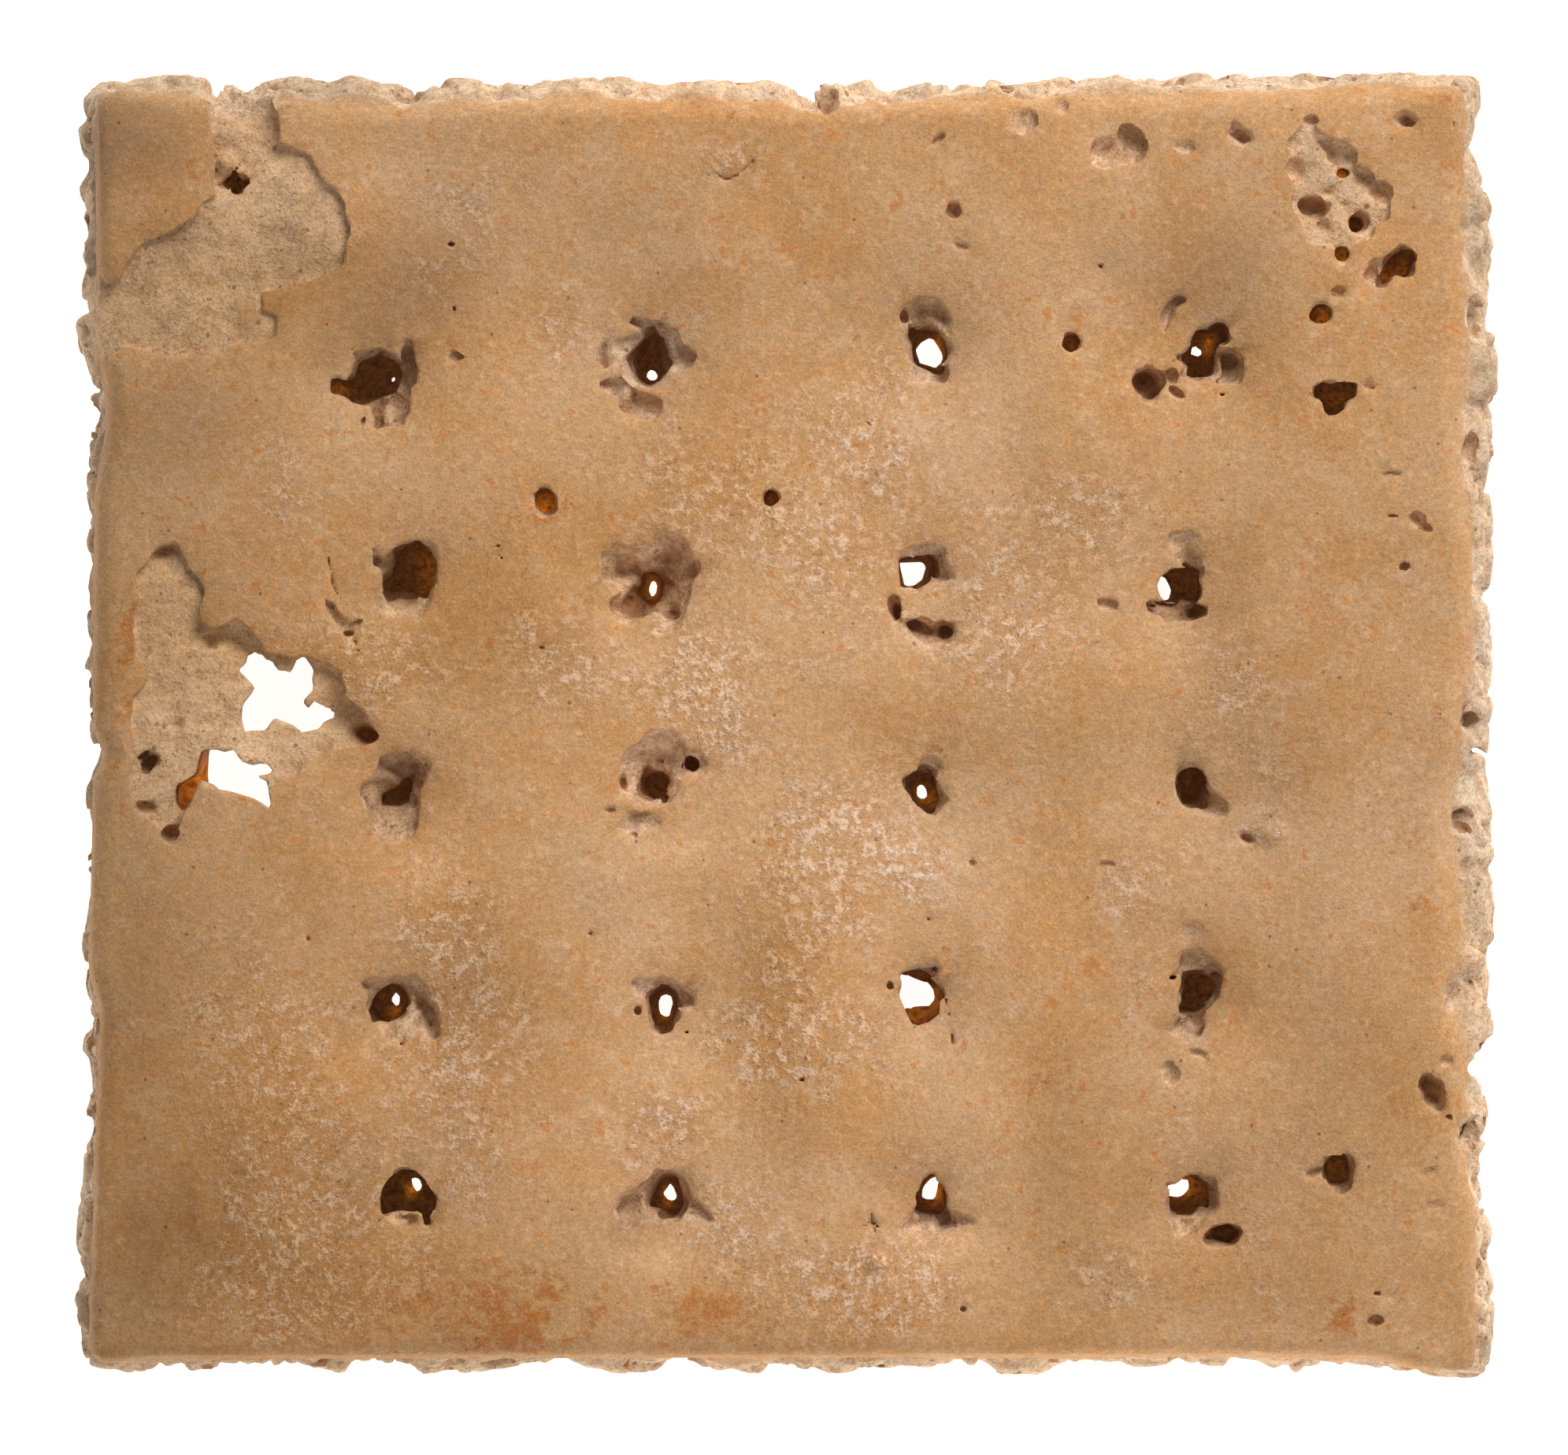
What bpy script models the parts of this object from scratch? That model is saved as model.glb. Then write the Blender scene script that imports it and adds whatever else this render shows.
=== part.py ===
"""Hardtack: an army ration cracker of flour and water, docked and baked hard, and chipped by age.

One solid. A slab with a quilted top is lofted from a grid and rings of side wall, then its holes,
flakes and chips are cut out of it. Metres, +Z up, long side along X, origin under the middle.
"""

import math
import random

import bmesh
import bpy
from mathutils import Vector, noise

MM = 0.001

# ---- Driving dimensions, in millimetres -------------------------------------------------------
LENGTH = 79.4
WIDTH = 73.0
THICKNESS = 12.0

# Docking holes: a grid of pins, pushed through the dough
DOCK_COLUMNS = 4
DOCK_ROWS = 5
DOCK_PITCH_X = 14.8
DOCK_PITCH_Y = 11.7
DOCK_MIDDLE = (0.5, -3.2)
DOCK_EXIT = 0.75

# The top swells between the holes and is drawn down round each
DIMPLE_DEPTH = 0.9
DIMPLE_WIDTH = 2.7
TOP_WAVE = 0.14
EDGE_SINK = 0.25

# Mesh
GRID_X = 30
GRID_Y = 27
TOP_INSET = 2.6
CORNER_PULL = 0.45
CRAG = 0.75
CRAG_SIZE = 3.1
HOLE_SIDES = 10
PIT_SIDES = 8
PIT_RAGGED = 0.16

# Where the crust ends on each side: (place along the side, distance from the middle)
CRUST = {
    "right": ((-36, 38.5), (-27, 38.5), (-24, 38.0), (-19, 37.9), (-15, 37.0), (-10, 37.4),
              (-4.5, 36.8), (0, 37.6), (7, 38.3), (16, 37.6), (27, 37.7), (36, 38.0)),
    "back": ((-38, 35.3), (-30, 34.9), (-21, 34.5), (-12, 34.9), (2, 34.6), (15, 35.0), (38, 35.7)),
    "left": ((-36, 38.5), (-26, 38.2), (-16, 37.9), (-13, 38.5), (-3, 38.3), (-1.5, 37.7),
             (0, 38.3), (12, 38.2), (17.5, 37.5), (22, 38.0), (36, 38.1)),
    "front": ((-39, 35.3), (-34, 35.0), (25, 34.9), (32, 35.0), (36, 35.7), (39, 35.9)),
}

# Where the crumbly layer under the crust ends
CRUMB = {
    "right": ((-36, 39.0), (-33, 39.4), (-27, 39.0), (-24.4, 38.4), (-22, 39.1), (-19, 38.2),
              (-15, 39.2), (-7.7, 38.8), (-4, 39.3), (0.7, 39.6), (8, 38.9), (10.5, 39.2),
              (13.5, 38.8), (17.5, 39.2), (20, 39.7), (25, 39.1), (27, 39.5), (31.5, 38.2),
              (36, 38.3)),
    "back": ((-38, 36.2), (-33, 36.5), (-30, 35.3), (-26, 36.5), (-20.2, 35.3), (-18.3, 36.2),
             (-16.4, 35.6), (-12, 36.2), (-6.7, 35.5), (-0.3, 35.9), (1.7, 34.9), (4.8, 35.9),
             (6.5, 35.4), (8.8, 36.1), (10.2, 35.3), (15.5, 36.2), (21, 35.6), (23, 36.6),
             (26.7, 36.1), (29.2, 36.6), (38, 36.4)),
    "left": ((-35, 39.0), (-32, 39.6), (-30, 39.1), (-28.5, 39.5), (-25.5, 39.0), (-23.5, 39.4),
             (-20, 38.6), (-18, 39.1), (-16, 38.6), (-13, 38.9), (-1.5, 38.3), (5, 38.8),
             (14, 38.9), (17, 38.5), (19.5, 38.4), (23.5, 39.4), (25.4, 38.9), (27.7, 39.0),
             (30, 39.7), (33, 39.5), (36, 38.9)),
    "front": ((-38, 36.0), (-36, 36.2), (-34, 35.5), (-32.5, 36.2), (-31, 35.3), (-26, 35.3),
              (-24.6, 36.4), (-23.5, 35.5), (-21, 35.4), (-19, 36.4), (-13, 35.4), (-8, 36.4),
              (-5.5, 35.3), (-3, 36.4), (0, 35.4), (2, 36.3), (6, 35.8), (9, 35.5), (12.5, 36.4),
              (17, 35.4), (20, 35.9), (25.5, 35.2), (27.8, 36.2), (30, 35.4), (33, 35.5),
              (37.5, 36.5)),
}
SIDES = ("right", "back", "left", "front")

# Rings of the side wall: height, distance inside the crust line, and how far each side
# (right, back, left, front) reaches out to the crumb line there
RINGS = (
    (0.0, 1.7, (0.0, 0.0, 0.0, 0.0)),
    (0.8, 0.5, (0.3, 0.3, 0.4, 0.7)),
    (2.1, 0.0, (0.7, 0.7, 1.0, 1.0)),
    (4.2, 0.0, (0.9, 0.8, 1.0, 0.5)),
    (6.4, 0.0, (1.0, 1.0, 0.6, 0.2)),
    (8.4, 0.0, (0.9, 0.8, 0.3, 0.0)),
    (9.9, 0.1, (0.3, 0.3, 0.0, 0.0)),
    (10.9, 0.6, (0.0, 0.0, 0.0, 0.0)),
    (11.5, 1.5, (0.0, 0.0, 0.0, 0.0)),
)

# Docking holes, from the back left one, a row at a time: the crater's middle, half widths, turn in
# degrees and depth, then the throat that goes through as (x, y, radius), or None where it is blocked
DOCKS = (
    (-22.1, 19.3, 1.9, 1.3, 10, 7.0, (-21.9, 19.4, 0.40)),
    (-7.7, 20.4, 1.3, 1.6, 0, 7.0, (-7.4, 19.8, 0.50)),
    (7.9, 20.7, 1.3, 1.7, 0, 6.0, (8.1, 20.8, 0.65)),
    (23.1, 20.5, 1.2, 1.7, -15, 6.5, (23.1, 21.1, 0.55)),
    (-20.8, 8.4, 1.5, 2.1, 0, 8.5, None),
    (-7.3, 8.0, 1.9, 1.9, 0, 6.0, (-7.35, 7.8, 0.50)),
    (7.4, 8.8, 1.1, 1.4, 10, 6.0, (7.2, 8.6, 0.65)),
    (22.0, 7.8, 1.3, 1.2, -20, 7.0, (21.3, 7.8, 0.55)),
    (-21.5, -3.6, 1.5, 2.2, 10, 5.5, None),
    (-7.3, -3.2, 1.6, 1.5, 0, 6.0, (-7.2, -3.2, 0.40)),
    (7.9, -3.4, 1.1, 1.4, 25, 6.0, (7.7, -3.6, 0.45)),
    (22.5, -3.3, 1.1, 1.5, 25, 8.5, None),
    (-21.9, -15.5, 1.2, 1.3, 0, 6.5, (-21.7, -15.3, 0.45)),
    (-6.8, -15.7, 1.0, 1.5, 0, 6.0, (-6.65, -15.5, 0.50)),
    (7.5, -15.1, 1.3, 1.4, 0, 4.5, (7.4, -15.0, 1.00)),
    (23.1, -14.6, 1.3, 1.6, -15, 8.5, None),
    (-20.9, -25.8, 1.6, 1.4, 0, 7.5, (-20.7, -25.6, 0.50)),
    (-6.5, -25.9, 1.6, 1.4, -20, 6.0, (-6.4, -26.0, 0.45)),
    (8.3, -26.1, 1.2, 1.4, 0, 5.0, (8.2, -25.8, 0.60)),
    (22.7, -26.0, 1.5, 1.3, 0, 6.5, (22.1, -25.8, 0.55)),
)

# Pits: burst bubbles and crumbled lobes beside the holes, as (x, y, half width, half height of the
# mouth, turn in degrees, depth under the top)
PITS = (
    (-24.2, 18.8, 1.1, 0.5, 10, 2.6), (-22.2, 17.2, 1.3, 0.9, 0, 1.5),
    (-8.3, 17.6, 1.4, 1.1, 0, 1.7), (-5.9, 20.4, 1.0, 0.8, 0, 1.8),
    (7.9, 22.9, 1.1, 0.9, 0, 1.6), (24.6, 20.3, 0.9, 0.8, 0, 1.8),
    (20.1, 19.0, 0.9, 0.9, 0, 2.4), (21.4, 23.1, 0.4, 1.1, -30, 1.4),
    (-21.5, 6.6, 1.3, 0.8, 0, 2.6), (-9.0, 9.3, 1.2, 1.1, 0, 1.9),
    (-5.6, 9.4, 1.1, 1.2, 0, 1.9), (-6.3, 6.1, 1.1, 1.0, 0, 1.8),
    (7.6, 5.6, 1.7, 1.0, 0, 1.5), (21.8, 6.4, 1.6, 0.7, 0, 1.6),
    (-22.0, -5.6, 1.2, 0.8, 0, 1.9), (-5.4, -1.9, 0.9, 0.8, -30, 2.4),
    (-7.3, -1.1, 1.6, 0.9, 0, 1.5), (-8.0, -5.2, 1.3, 0.8, 0, 1.2),
    (23.8, -4.3, 0.6, 0.8, 20, 2.2), (-20.2, -15.8, 1.0, 1.9, 20, 2.0),
    (-7.4, -14.4, 1.2, 0.7, 0, 1.5), (-5.4, -15.1, 0.7, 0.7, 0, 1.5),
    (7.4, -13.5, 1.0, 0.7, 0, 1.7), (22.3, -16.6, 1.2, 0.7, 0, 2.0),
    (23.2, -12.9, 1.2, 0.8, 0, 1.6), (-8.4, -26.9, 1.2, 1.0, 0, 1.6),
    (-4.4, -27.1, 0.9, 0.6, -40, 1.4), (8.6, -27.3, 1.6, 0.9, 0, 1.6),
    (24.3, -28.1, 1.2, 0.6, 15, 3.2), (-24.6, 6.3, 1.0, 0.5, -45, 1.5),
    (19.1, 32.5, 1.2, 1.1, 0, 1.7), (17.9, 31.8, 1.0, 0.8, 20, 1.5),
    (34.4, 33.4, 0.7, 0.5, 0, 1.3), (30.7, 32.0, 1.9, 0.9, -40, 2.2),
    (28.9, 30.9, 1.2, 0.8, 0, 1.7), (29.2, 28.8, 1.1, 0.8, 0, 2.8),
    (32.5, 29.2, 1.3, 1.1, 20, 1.6), (31.8, 27.9, 0.8, 0.8, -20, 3.0),
    (30.7, 26.2, 0.8, 0.7, 0, 3.4), (34.1, 25.7, 1.0, 1.1, 0, 3.4),
    (32.6, 24.9, 0.9, 0.6, 10, 2.0), (29.75, 22.8, 0.8, 0.8, 0, 4.6),
    (30.4, 18.4, 1.3, 0.95, 0, 3.4), (36.0, -20.4, 0.75, 1.1, 20, 2.6),
    (37.7, -22.6, 0.6, 1.1, 0, 2.8), (-34.3, 9.6, 1.1, 0.5, 25, 2.2),
    (-35.2, -1.8, 1.0, 0.8, -15, 2.8), (-33.9, -5.9, 0.6, 0.5, 0, 3.0),
    (-23.2, -0.4, 1.2, 0.5, 0, 3.6), (-31.1, 31.2, 0.9, 0.9, 0, 2.4),
    (-30.5, 30.4, 0.8, 0.5, 0, 3.6),
)

# Bubbles that burst right through, as (x, y, radius at the top, at the bottom)
WORMHOLES = ((-13.2, 12.5, 0.75, 0.5), (-0.7, 12.6, 0.6, 0.5), (15.9, 21.3, 0.5, 0.5),
             (30.6, -24.6, 0.9, 0.6))

# Flakes: places where a sheet of crust broke off, as corners in order, then the floor's height
FLAKES = (
    (((-31.6, 35.6), (-28.0, 35.6), (-28.0, 32.4), (-26.3, 31.6), (-24.6, 29.2), (-24.0, 27.6),
      (-25.0, 25.1), (-28.5, 24.1), (-28.2, 22.0), (-29.2, 21.1), (-33.0, 20.6), (-39.9, 21.0),
      (-39.9, 23.8), (-36.9, 24.4), (-36.2, 26.2), (-34.0, 27.4), (-31.7, 29.2)), 11.0),
    (((-33.4, 9.9), (-32.6, 7.8), (-32.2, 5.8), (-30.5, 5.6), (-28.3, 4.0), (-24.2, 3.2),
      (-24.2, 1.9), (-22.2, -0.4), (-25.0, -1.1), (-28.5, -3.2), (-31.5, -2.6), (-33.4, -4.9),
      (-35.5, -5.1), (-36.1, -1.5), (-35.7, 3.0), (-36.0, 7.0), (-35.2, 9.2)), 10.7),
)

# Breaks in the floor of the second flake, open right through, as corners in order
BREAKS = (
    ((-30.0, 3.1), (-28.9, 3.9), (-27.2, 2.9), (-26.6, 3.8), (-25.9, 3.0), (-26.4, 1.1),
     (-25.0, 0.7), (-25.8, -0.1), (-27.6, 0.2), (-29.9, -0.3), (-29.3, 2.2)),
    ((-33.6, -4.1), (-32.1, -1.5), (-30.6, -1.2), (-29.3, -2.2), (-28.5, -2.3), (-28.4, -4.4),
     (-30.2, -3.6), (-32.3, -3.0), (-33.2, -4.6)),
)
BREAK_DRAFT = 0.93

# Chips out of the edge, as (x, y, z, and the half sizes along x, y and z)
CHIPS = (
    (1.7, 35.2, 9.5, 1.2, 1.4, 5.0),
    (-29.9, 35.2, 12.4, 2.1, 2.4, 3.2),
    (-21.1, 35.3, 10.2, 0.9, 0.9, 2.2),
    (38.0, -1.6, 9.4, 0.8, 1.2, 2.6),
    (37.6, -4.7, 11.6, 1.2, 1.2, 2.0),
    (38.6, -18.8, 9.0, 1.0, 0.9, 4.0),
    (37.3, -14.4, 11.4, 0.9, 1.2, 1.4),
    (-38.9, -1.5, 9.6, 0.9, 1.6, 4.0),
    (-38.7, 17.4, 9.2, 1.0, 1.7, 4.6),
    (-38.8, -16.4, 9.6, 0.9, 1.3, 3.2),
    (38.8, -25.0, 9.0, 0.7, 1.2, 5.0),
)


def clear_scene():
    """Empties the file that the script runs in."""
    for obj in list(bpy.data.objects):
        bpy.data.objects.remove(obj, do_unlink=True)


def smoothstep(t):
    return t * t * (3 - 2 * t)


def along(points, place):
    """Reads a side's line at a place along it, easing from each point to the next."""
    if place <= points[0][0]:
        return points[0][1]
    for (p0, d0), (p1, d1) in zip(points, points[1:]):
        if place <= p1:
            return d0 + (d1 - d0) * smoothstep((place - p0) / (p1 - p0))
    return points[-1][1]


def reach(side, place, inset, share):
    """Distance of one side from the middle: the crust line, moved towards the crumb line."""
    crust = along(CRUST[side], place)
    crumb = along(CRUMB[side], place)
    return crust + (crumb - crust) * share - inset


def plan(u, v, inset, shares):
    """Maps u and v, each from -1 to 1 across the slab, to its uneven four-sided plan."""
    right, back, left, front = SIDES
    y = v * (WIDTH / 2 - inset)
    x0 = -reach(left, y, inset, shares[2])
    x1 = reach(right, y, inset, shares[0])
    x = x0 + (x1 - x0) * (u + 1) / 2
    y0 = -reach(front, x, inset, shares[3])
    y1 = reach(back, x, inset, shares[1])
    return x, y0 + (y1 - y0) * (v + 1) / 2


def dock_places():
    """The pins' regular places, a row at a time from the back left one."""
    for row in range(DOCK_ROWS):
        y = DOCK_MIDDLE[1] + ((DOCK_ROWS - 1) / 2 - row) * DOCK_PITCH_Y
        for column in range(DOCK_COLUMNS):
            yield DOCK_MIDDLE[0] + (column - (DOCK_COLUMNS - 1) / 2) * DOCK_PITCH_X, y


def top_height(x, y):
    """The quilted top: full height between the pins, drawn down round each and at the edges."""
    height = THICKNESS
    for px, py in dock_places():
        height -= DIMPLE_DEPTH * math.exp(-((x - px) ** 2 + (y - py) ** 2) / (2 * DIMPLE_WIDTH ** 2))
    height -= EDGE_SINK * ((2 * x / LENGTH) ** 8 + (2 * y / WIDTH) ** 8)
    return height - TOP_WAVE * (1 + noise.noise(Vector((x / 9, y / 9, 4.2))))


def crag(x, y, z, axis):
    """Rough broken crumb: a smooth noise that moves a point of the side wall."""
    spot = Vector((x, y, z)) / CRAG_SIZE
    return CRAG * noise.noise(spot + Vector((0, 0, 17.3 * axis)))


def perimeter():
    """Grid places round the slab, anticlockwise from the front left corner."""
    walk = [(i, 0) for i in range(GRID_X)]
    walk += [(GRID_X, j) for j in range(GRID_Y)]
    walk += [(i, GRID_Y) for i in range(GRID_X, 0, -1)]
    walk += [(0, j) for j in range(GRID_Y, 0, -1)]
    return walk


def corner_pull(i, j):
    """Rounds the four corners off, by moving the corner vertex in."""
    on_corner = i in (0, GRID_X) and j in (0, GRID_Y)
    pull = CORNER_PULL if on_corner else 0.0
    return math.copysign(pull, GRID_X / 2 - i), math.copysign(pull, GRID_Y / 2 - j)


def build_slab():
    """Lofts the slab: a flat base, rings of side wall, and a grid for the quilted top."""
    bm = bmesh.new()
    rings = []
    for height, inset, shares in RINGS:
        ring = []
        for i, j in perimeter():
            x, y = plan(2 * i / GRID_X - 1, 2 * j / GRID_Y - 1, inset, shares)
            dx, dy = corner_pull(i, j)
            z = height
            if height > 0:
                dx += crag(x, y, height, 0)
                dy += crag(x, y, height, 1)
                z = height * top_height(x, y) / THICKNESS
            ring.append(bm.verts.new((x + dx, y + dy, z)))
        rings.append(ring)

    top = {}
    for i in range(GRID_X + 1):
        for j in range(GRID_Y + 1):
            x, y = plan(2 * i / GRID_X - 1, 2 * j / GRID_Y - 1, TOP_INSET, RINGS[-1][2])
            top[i, j] = bm.verts.new((x, y, top_height(x, y)))
    rings.append([top[place] for place in perimeter()])

    count = len(rings[0])
    for low, high in zip(rings, rings[1:]):
        for k in range(count):
            n = (k + 1) % count
            bm.faces.new((low[k], low[n], high[n], high[k]))
    for i in range(GRID_X):
        for j in range(GRID_Y):
            bm.faces.new((top[i, j], top[i + 1, j], top[i + 1, j + 1], top[i, j + 1]))
    bm.faces.new(rings[0][::-1])
    fit_to_size(bm)
    return finish_mesh(bm, "hardtack")


def fit_to_size(bm):
    """Scales the slab to exactly LENGTH by WIDTH by THICKNESS, with the origin under its middle."""
    for axis, size, rest in ((0, LENGTH, 0.5), (1, WIDTH, 0.5), (2, THICKNESS, 0.0)):
        values = [v.co[axis] for v in bm.verts]
        low, high = min(values), max(values)
        for v in bm.verts:
            v.co[axis] = ((v.co[axis] - low) / (high - low) - rest) * size


def finish_mesh(bm, name):
    """Turns a bmesh in millimetres into a linked object in metres."""
    bmesh.ops.recalc_face_normals(bm, faces=bm.faces)
    bmesh.ops.scale(bm, vec=(MM, MM, MM), verts=bm.verts)
    mesh = bpy.data.meshes.new(name)
    bm.to_mesh(mesh)
    bm.free()
    obj = bpy.data.objects.new(name, mesh)
    bpy.context.scene.collection.objects.link(obj)
    return obj


def loft(bm, rings):
    """Closes a stack of rings of points, bottom ring first, into one body with flat ends."""
    made = [[bm.verts.new(point) for point in ring] for ring in rings]
    count = len(made[0])
    for low, high in zip(made, made[1:]):
        for k in range(count):
            n = (k + 1) % count
            bm.faces.new((low[k], low[n], high[n], high[k]))
    bm.faces.new(made[0][::-1])
    bm.faces.new(made[-1])


def ragged_ring(x, y, rx, ry, turn, z, ragged):
    """One ring of a hole: an ellipse whose radius wanders by the shares in ragged."""
    points = []
    for k, share in enumerate(ragged):
        a = 2 * math.pi * k / len(ragged)
        px = rx * share * math.cos(a)
        py = ry * share * math.sin(a)
        c, s = math.cos(turn), math.sin(turn)
        points.append((x + px * c - py * s, y + px * s + py * c, z))
    return points


def cut_dock(bm, dock, rng):
    """A docking hole: a torn crater that narrows to a throat, and a small exit underneath."""
    x, y, rx, ry, turn, depth, throat = dock
    turn = math.radians(turn)
    ragged = [1 + rng.uniform(-0.14, 0.14) for _ in range(HOLE_SIDES)]
    even = [1 + 0.35 * (r - 1) for r in ragged]
    top = top_height(x, y)
    floor = top - depth
    crater = [
        ragged_ring(x, y, rx * 0.55, ry * 0.55, turn, floor, even),
        ragged_ring(x, y, rx * 0.90, ry * 0.90, turn, floor + depth * 0.35, even),
        ragged_ring(x, y, rx * 1.02, ry * 1.02, turn, floor + depth * 0.75, ragged),
        ragged_ring(x, y, rx, ry, turn, top + 1.5, ragged),
    ]
    if throat is None:
        loft(bm, crater)
        return
    tx, ty, r = throat
    wide = max(r, DOCK_EXIT)
    neck = [
        ragged_ring(tx, ty, wide * 1.1, wide * 1.1, turn, -1.0, even),
        ragged_ring(tx, ty, r, r, turn, 2.2, even),
        ragged_ring(tx, ty, r * 1.15, r * 1.15, turn, floor - 0.6, even),
    ]
    loft(bm, neck + crater)


def cut_blocked_exit(bm, dock, rng):
    """Under a blocked hole the pin's exit is a short pit in the base."""
    x, y = dock[0], dock[1]
    ragged = [1 + rng.uniform(-0.12, 0.12) for _ in range(HOLE_SIDES)]
    loft(bm, [
        ragged_ring(x, y, DOCK_EXIT * 1.1, DOCK_EXIT * 1.1, 0, -1.0, ragged),
        ragged_ring(x, y, DOCK_EXIT * 0.6, DOCK_EXIT * 0.6, 0, 1.4, ragged),
    ])


def cut_lump(bm, middle, halves, turn, rng, wander=0.12):
    """An uneven ball, stretched to three half sizes and turned about Z."""
    made = bmesh.ops.create_icosphere(bm, subdivisions=2, radius=1.0)["verts"]
    shift = Vector((rng.uniform(0, 50), rng.uniform(0, 50), rng.uniform(0, 50)))
    c, s = math.cos(turn), math.sin(turn)
    for v in made:
        grow = 1 + wander * noise.noise(v.co * 1.3 + shift)
        x, y, z = (v.co[i] * halves[i] * grow for i in range(3))
        v.co = Vector((middle[0] + x * c - y * s, middle[1] + x * s + y * c, middle[2] + z))


def cut_pit(bm, pit, rng):
    """A burst bubble: a rounded bowl that is widest a little under its mouth."""
    x, y, rx, ry, turn, depth = pit
    turn = math.radians(turn)
    ragged = [1 + rng.uniform(-PIT_RAGGED, PIT_RAGGED) for _ in range(PIT_SIDES)]
    top = top_height(x, y)
    loft(bm, [
        ragged_ring(x, y, rx * 0.45, ry * 0.45, turn, top - depth, ragged),
        ragged_ring(x, y, rx * 0.9, ry * 0.9, turn, top - depth * 0.72, ragged),
        ragged_ring(x, y, rx, ry, turn, top + 1.5, ragged),
    ])


def cut_prism(bm, corners, low, high, draft):
    """An upright prism through the corners; its lower end is scaled by draft about its middle."""
    mx = sum(c[0] for c in corners) / len(corners)
    my = sum(c[1] for c in corners) / len(corners)
    foot = [(mx + (x - mx) * draft, my + (y - my) * draft, low) for x, y in corners]
    head = [(x, y, high) for x, y in corners]
    loft(bm, [foot, head])


def cutter(name, make):
    """Builds one hidden cutter object with the function make."""
    bm = bmesh.new()
    make(bm)
    obj = finish_mesh(bm, name)
    obj.hide_render = True
    obj.display_type = "WIRE"
    return obj


def cutters():
    """Every cut, each in its own object."""
    rng = random.Random(1862)
    made = []
    for n, dock in enumerate(DOCKS):
        made.append(cutter(f"dock_{n}", lambda bm: cut_dock(bm, dock, rng)))
        if dock[6] is None:
            made.append(cutter(f"exit_{n}", lambda bm: cut_blocked_exit(bm, dock, rng)))
    for n, pit in enumerate(PITS):
        made.append(cutter(f"pit_{n}", lambda bm: cut_pit(bm, pit, rng)))
    for n, (x, y, r_top, r_foot) in enumerate(WORMHOLES):
        even = [1.0] * HOLE_SIDES
        made.append(cutter(f"worm_{n}", lambda bm: loft(bm, [
            ragged_ring(x, y, r_foot, r_foot, 0, -1.0, even),
            ragged_ring(x, y, r_foot, r_foot, 0, 6.0, even),
            ragged_ring(x, y, r_top, r_top, 0, THICKNESS + 1, even)])))
    for n, (corners, floor) in enumerate(FLAKES):
        made.append(cutter(f"flake_{n}", lambda bm: cut_prism(bm, corners, floor, THICKNESS + 2, 0.985)))
    for n, corners in enumerate(BREAKS):
        made.append(cutter(f"break_{n}", lambda bm: cut_prism(bm, corners, -1.0, THICKNESS + 1, BREAK_DRAFT)))
    for n, (x, y, z, hx, hy, hz) in enumerate(CHIPS):
        made.append(cutter(f"chip_{n}", lambda bm: cut_lump(bm, (x, y, z), (hx, hy, hz), 0, rng, 0.3)))
    return made


def cut(slab, tools):
    """Takes every cutter away from the slab with one Boolean."""
    group = bpy.data.collections.new("cutters")
    bpy.context.scene.collection.children.link(group)
    for obj in tools:
        bpy.context.scene.collection.objects.unlink(obj)
        group.objects.link(obj)
    boolean = slab.modifiers.new("holes", "BOOLEAN")
    boolean.operation = "DIFFERENCE"
    boolean.solver = "EXACT"
    boolean.operand_type = "COLLECTION"
    boolean.collection = group
    print(slab.name, "cut by", len(tools), "cutters")


def baked_crust():
    """Pale toasted flour, quite matt."""
    material = bpy.data.materials.new("baked_crust")
    material.use_nodes = True
    shader = material.node_tree.nodes["Principled BSDF"]
    shader.inputs["Base Color"].default_value = (0.56, 0.35, 0.185, 1.0)
    shader.inputs["Roughness"].default_value = 0.8
    shader.inputs["Metallic"].default_value = 0.0
    return material


def main():
    clear_scene()
    slab = build_slab()
    slab.data.materials.append(baked_crust())
    cut(slab, cutters())


main()
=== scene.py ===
# %% [markdown]
# # Hardtack
#
# A ration cracker of flour and water, docked with pins and baked until it rings. Its looks come
# from what happened to it: a quilted top crust, holes torn where the pins went through, flakes
# of crust gone, and crumbly sides where it was snapped from the sheet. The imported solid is
# loaded first, and every size below is measured from its box.

import bpy
import numpy as np
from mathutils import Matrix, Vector


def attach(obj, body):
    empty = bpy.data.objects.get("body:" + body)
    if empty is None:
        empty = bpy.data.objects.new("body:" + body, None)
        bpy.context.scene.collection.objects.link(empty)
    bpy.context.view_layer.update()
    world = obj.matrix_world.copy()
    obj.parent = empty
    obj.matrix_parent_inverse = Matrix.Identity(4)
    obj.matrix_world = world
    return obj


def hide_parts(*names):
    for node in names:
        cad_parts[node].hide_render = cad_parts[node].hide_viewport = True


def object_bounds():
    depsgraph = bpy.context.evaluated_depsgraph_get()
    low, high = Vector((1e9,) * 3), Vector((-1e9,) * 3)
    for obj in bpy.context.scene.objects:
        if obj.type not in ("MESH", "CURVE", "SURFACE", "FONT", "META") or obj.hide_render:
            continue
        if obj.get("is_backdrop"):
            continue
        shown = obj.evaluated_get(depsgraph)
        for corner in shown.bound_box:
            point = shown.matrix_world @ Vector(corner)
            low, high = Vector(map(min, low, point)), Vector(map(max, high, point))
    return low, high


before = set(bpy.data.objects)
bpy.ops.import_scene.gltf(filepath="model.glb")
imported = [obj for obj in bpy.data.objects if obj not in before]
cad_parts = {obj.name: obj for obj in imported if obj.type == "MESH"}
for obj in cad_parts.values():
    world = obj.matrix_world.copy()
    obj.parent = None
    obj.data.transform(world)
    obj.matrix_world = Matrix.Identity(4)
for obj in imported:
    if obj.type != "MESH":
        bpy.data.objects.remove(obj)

MM = 0.001
cad_low, cad_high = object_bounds()
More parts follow.
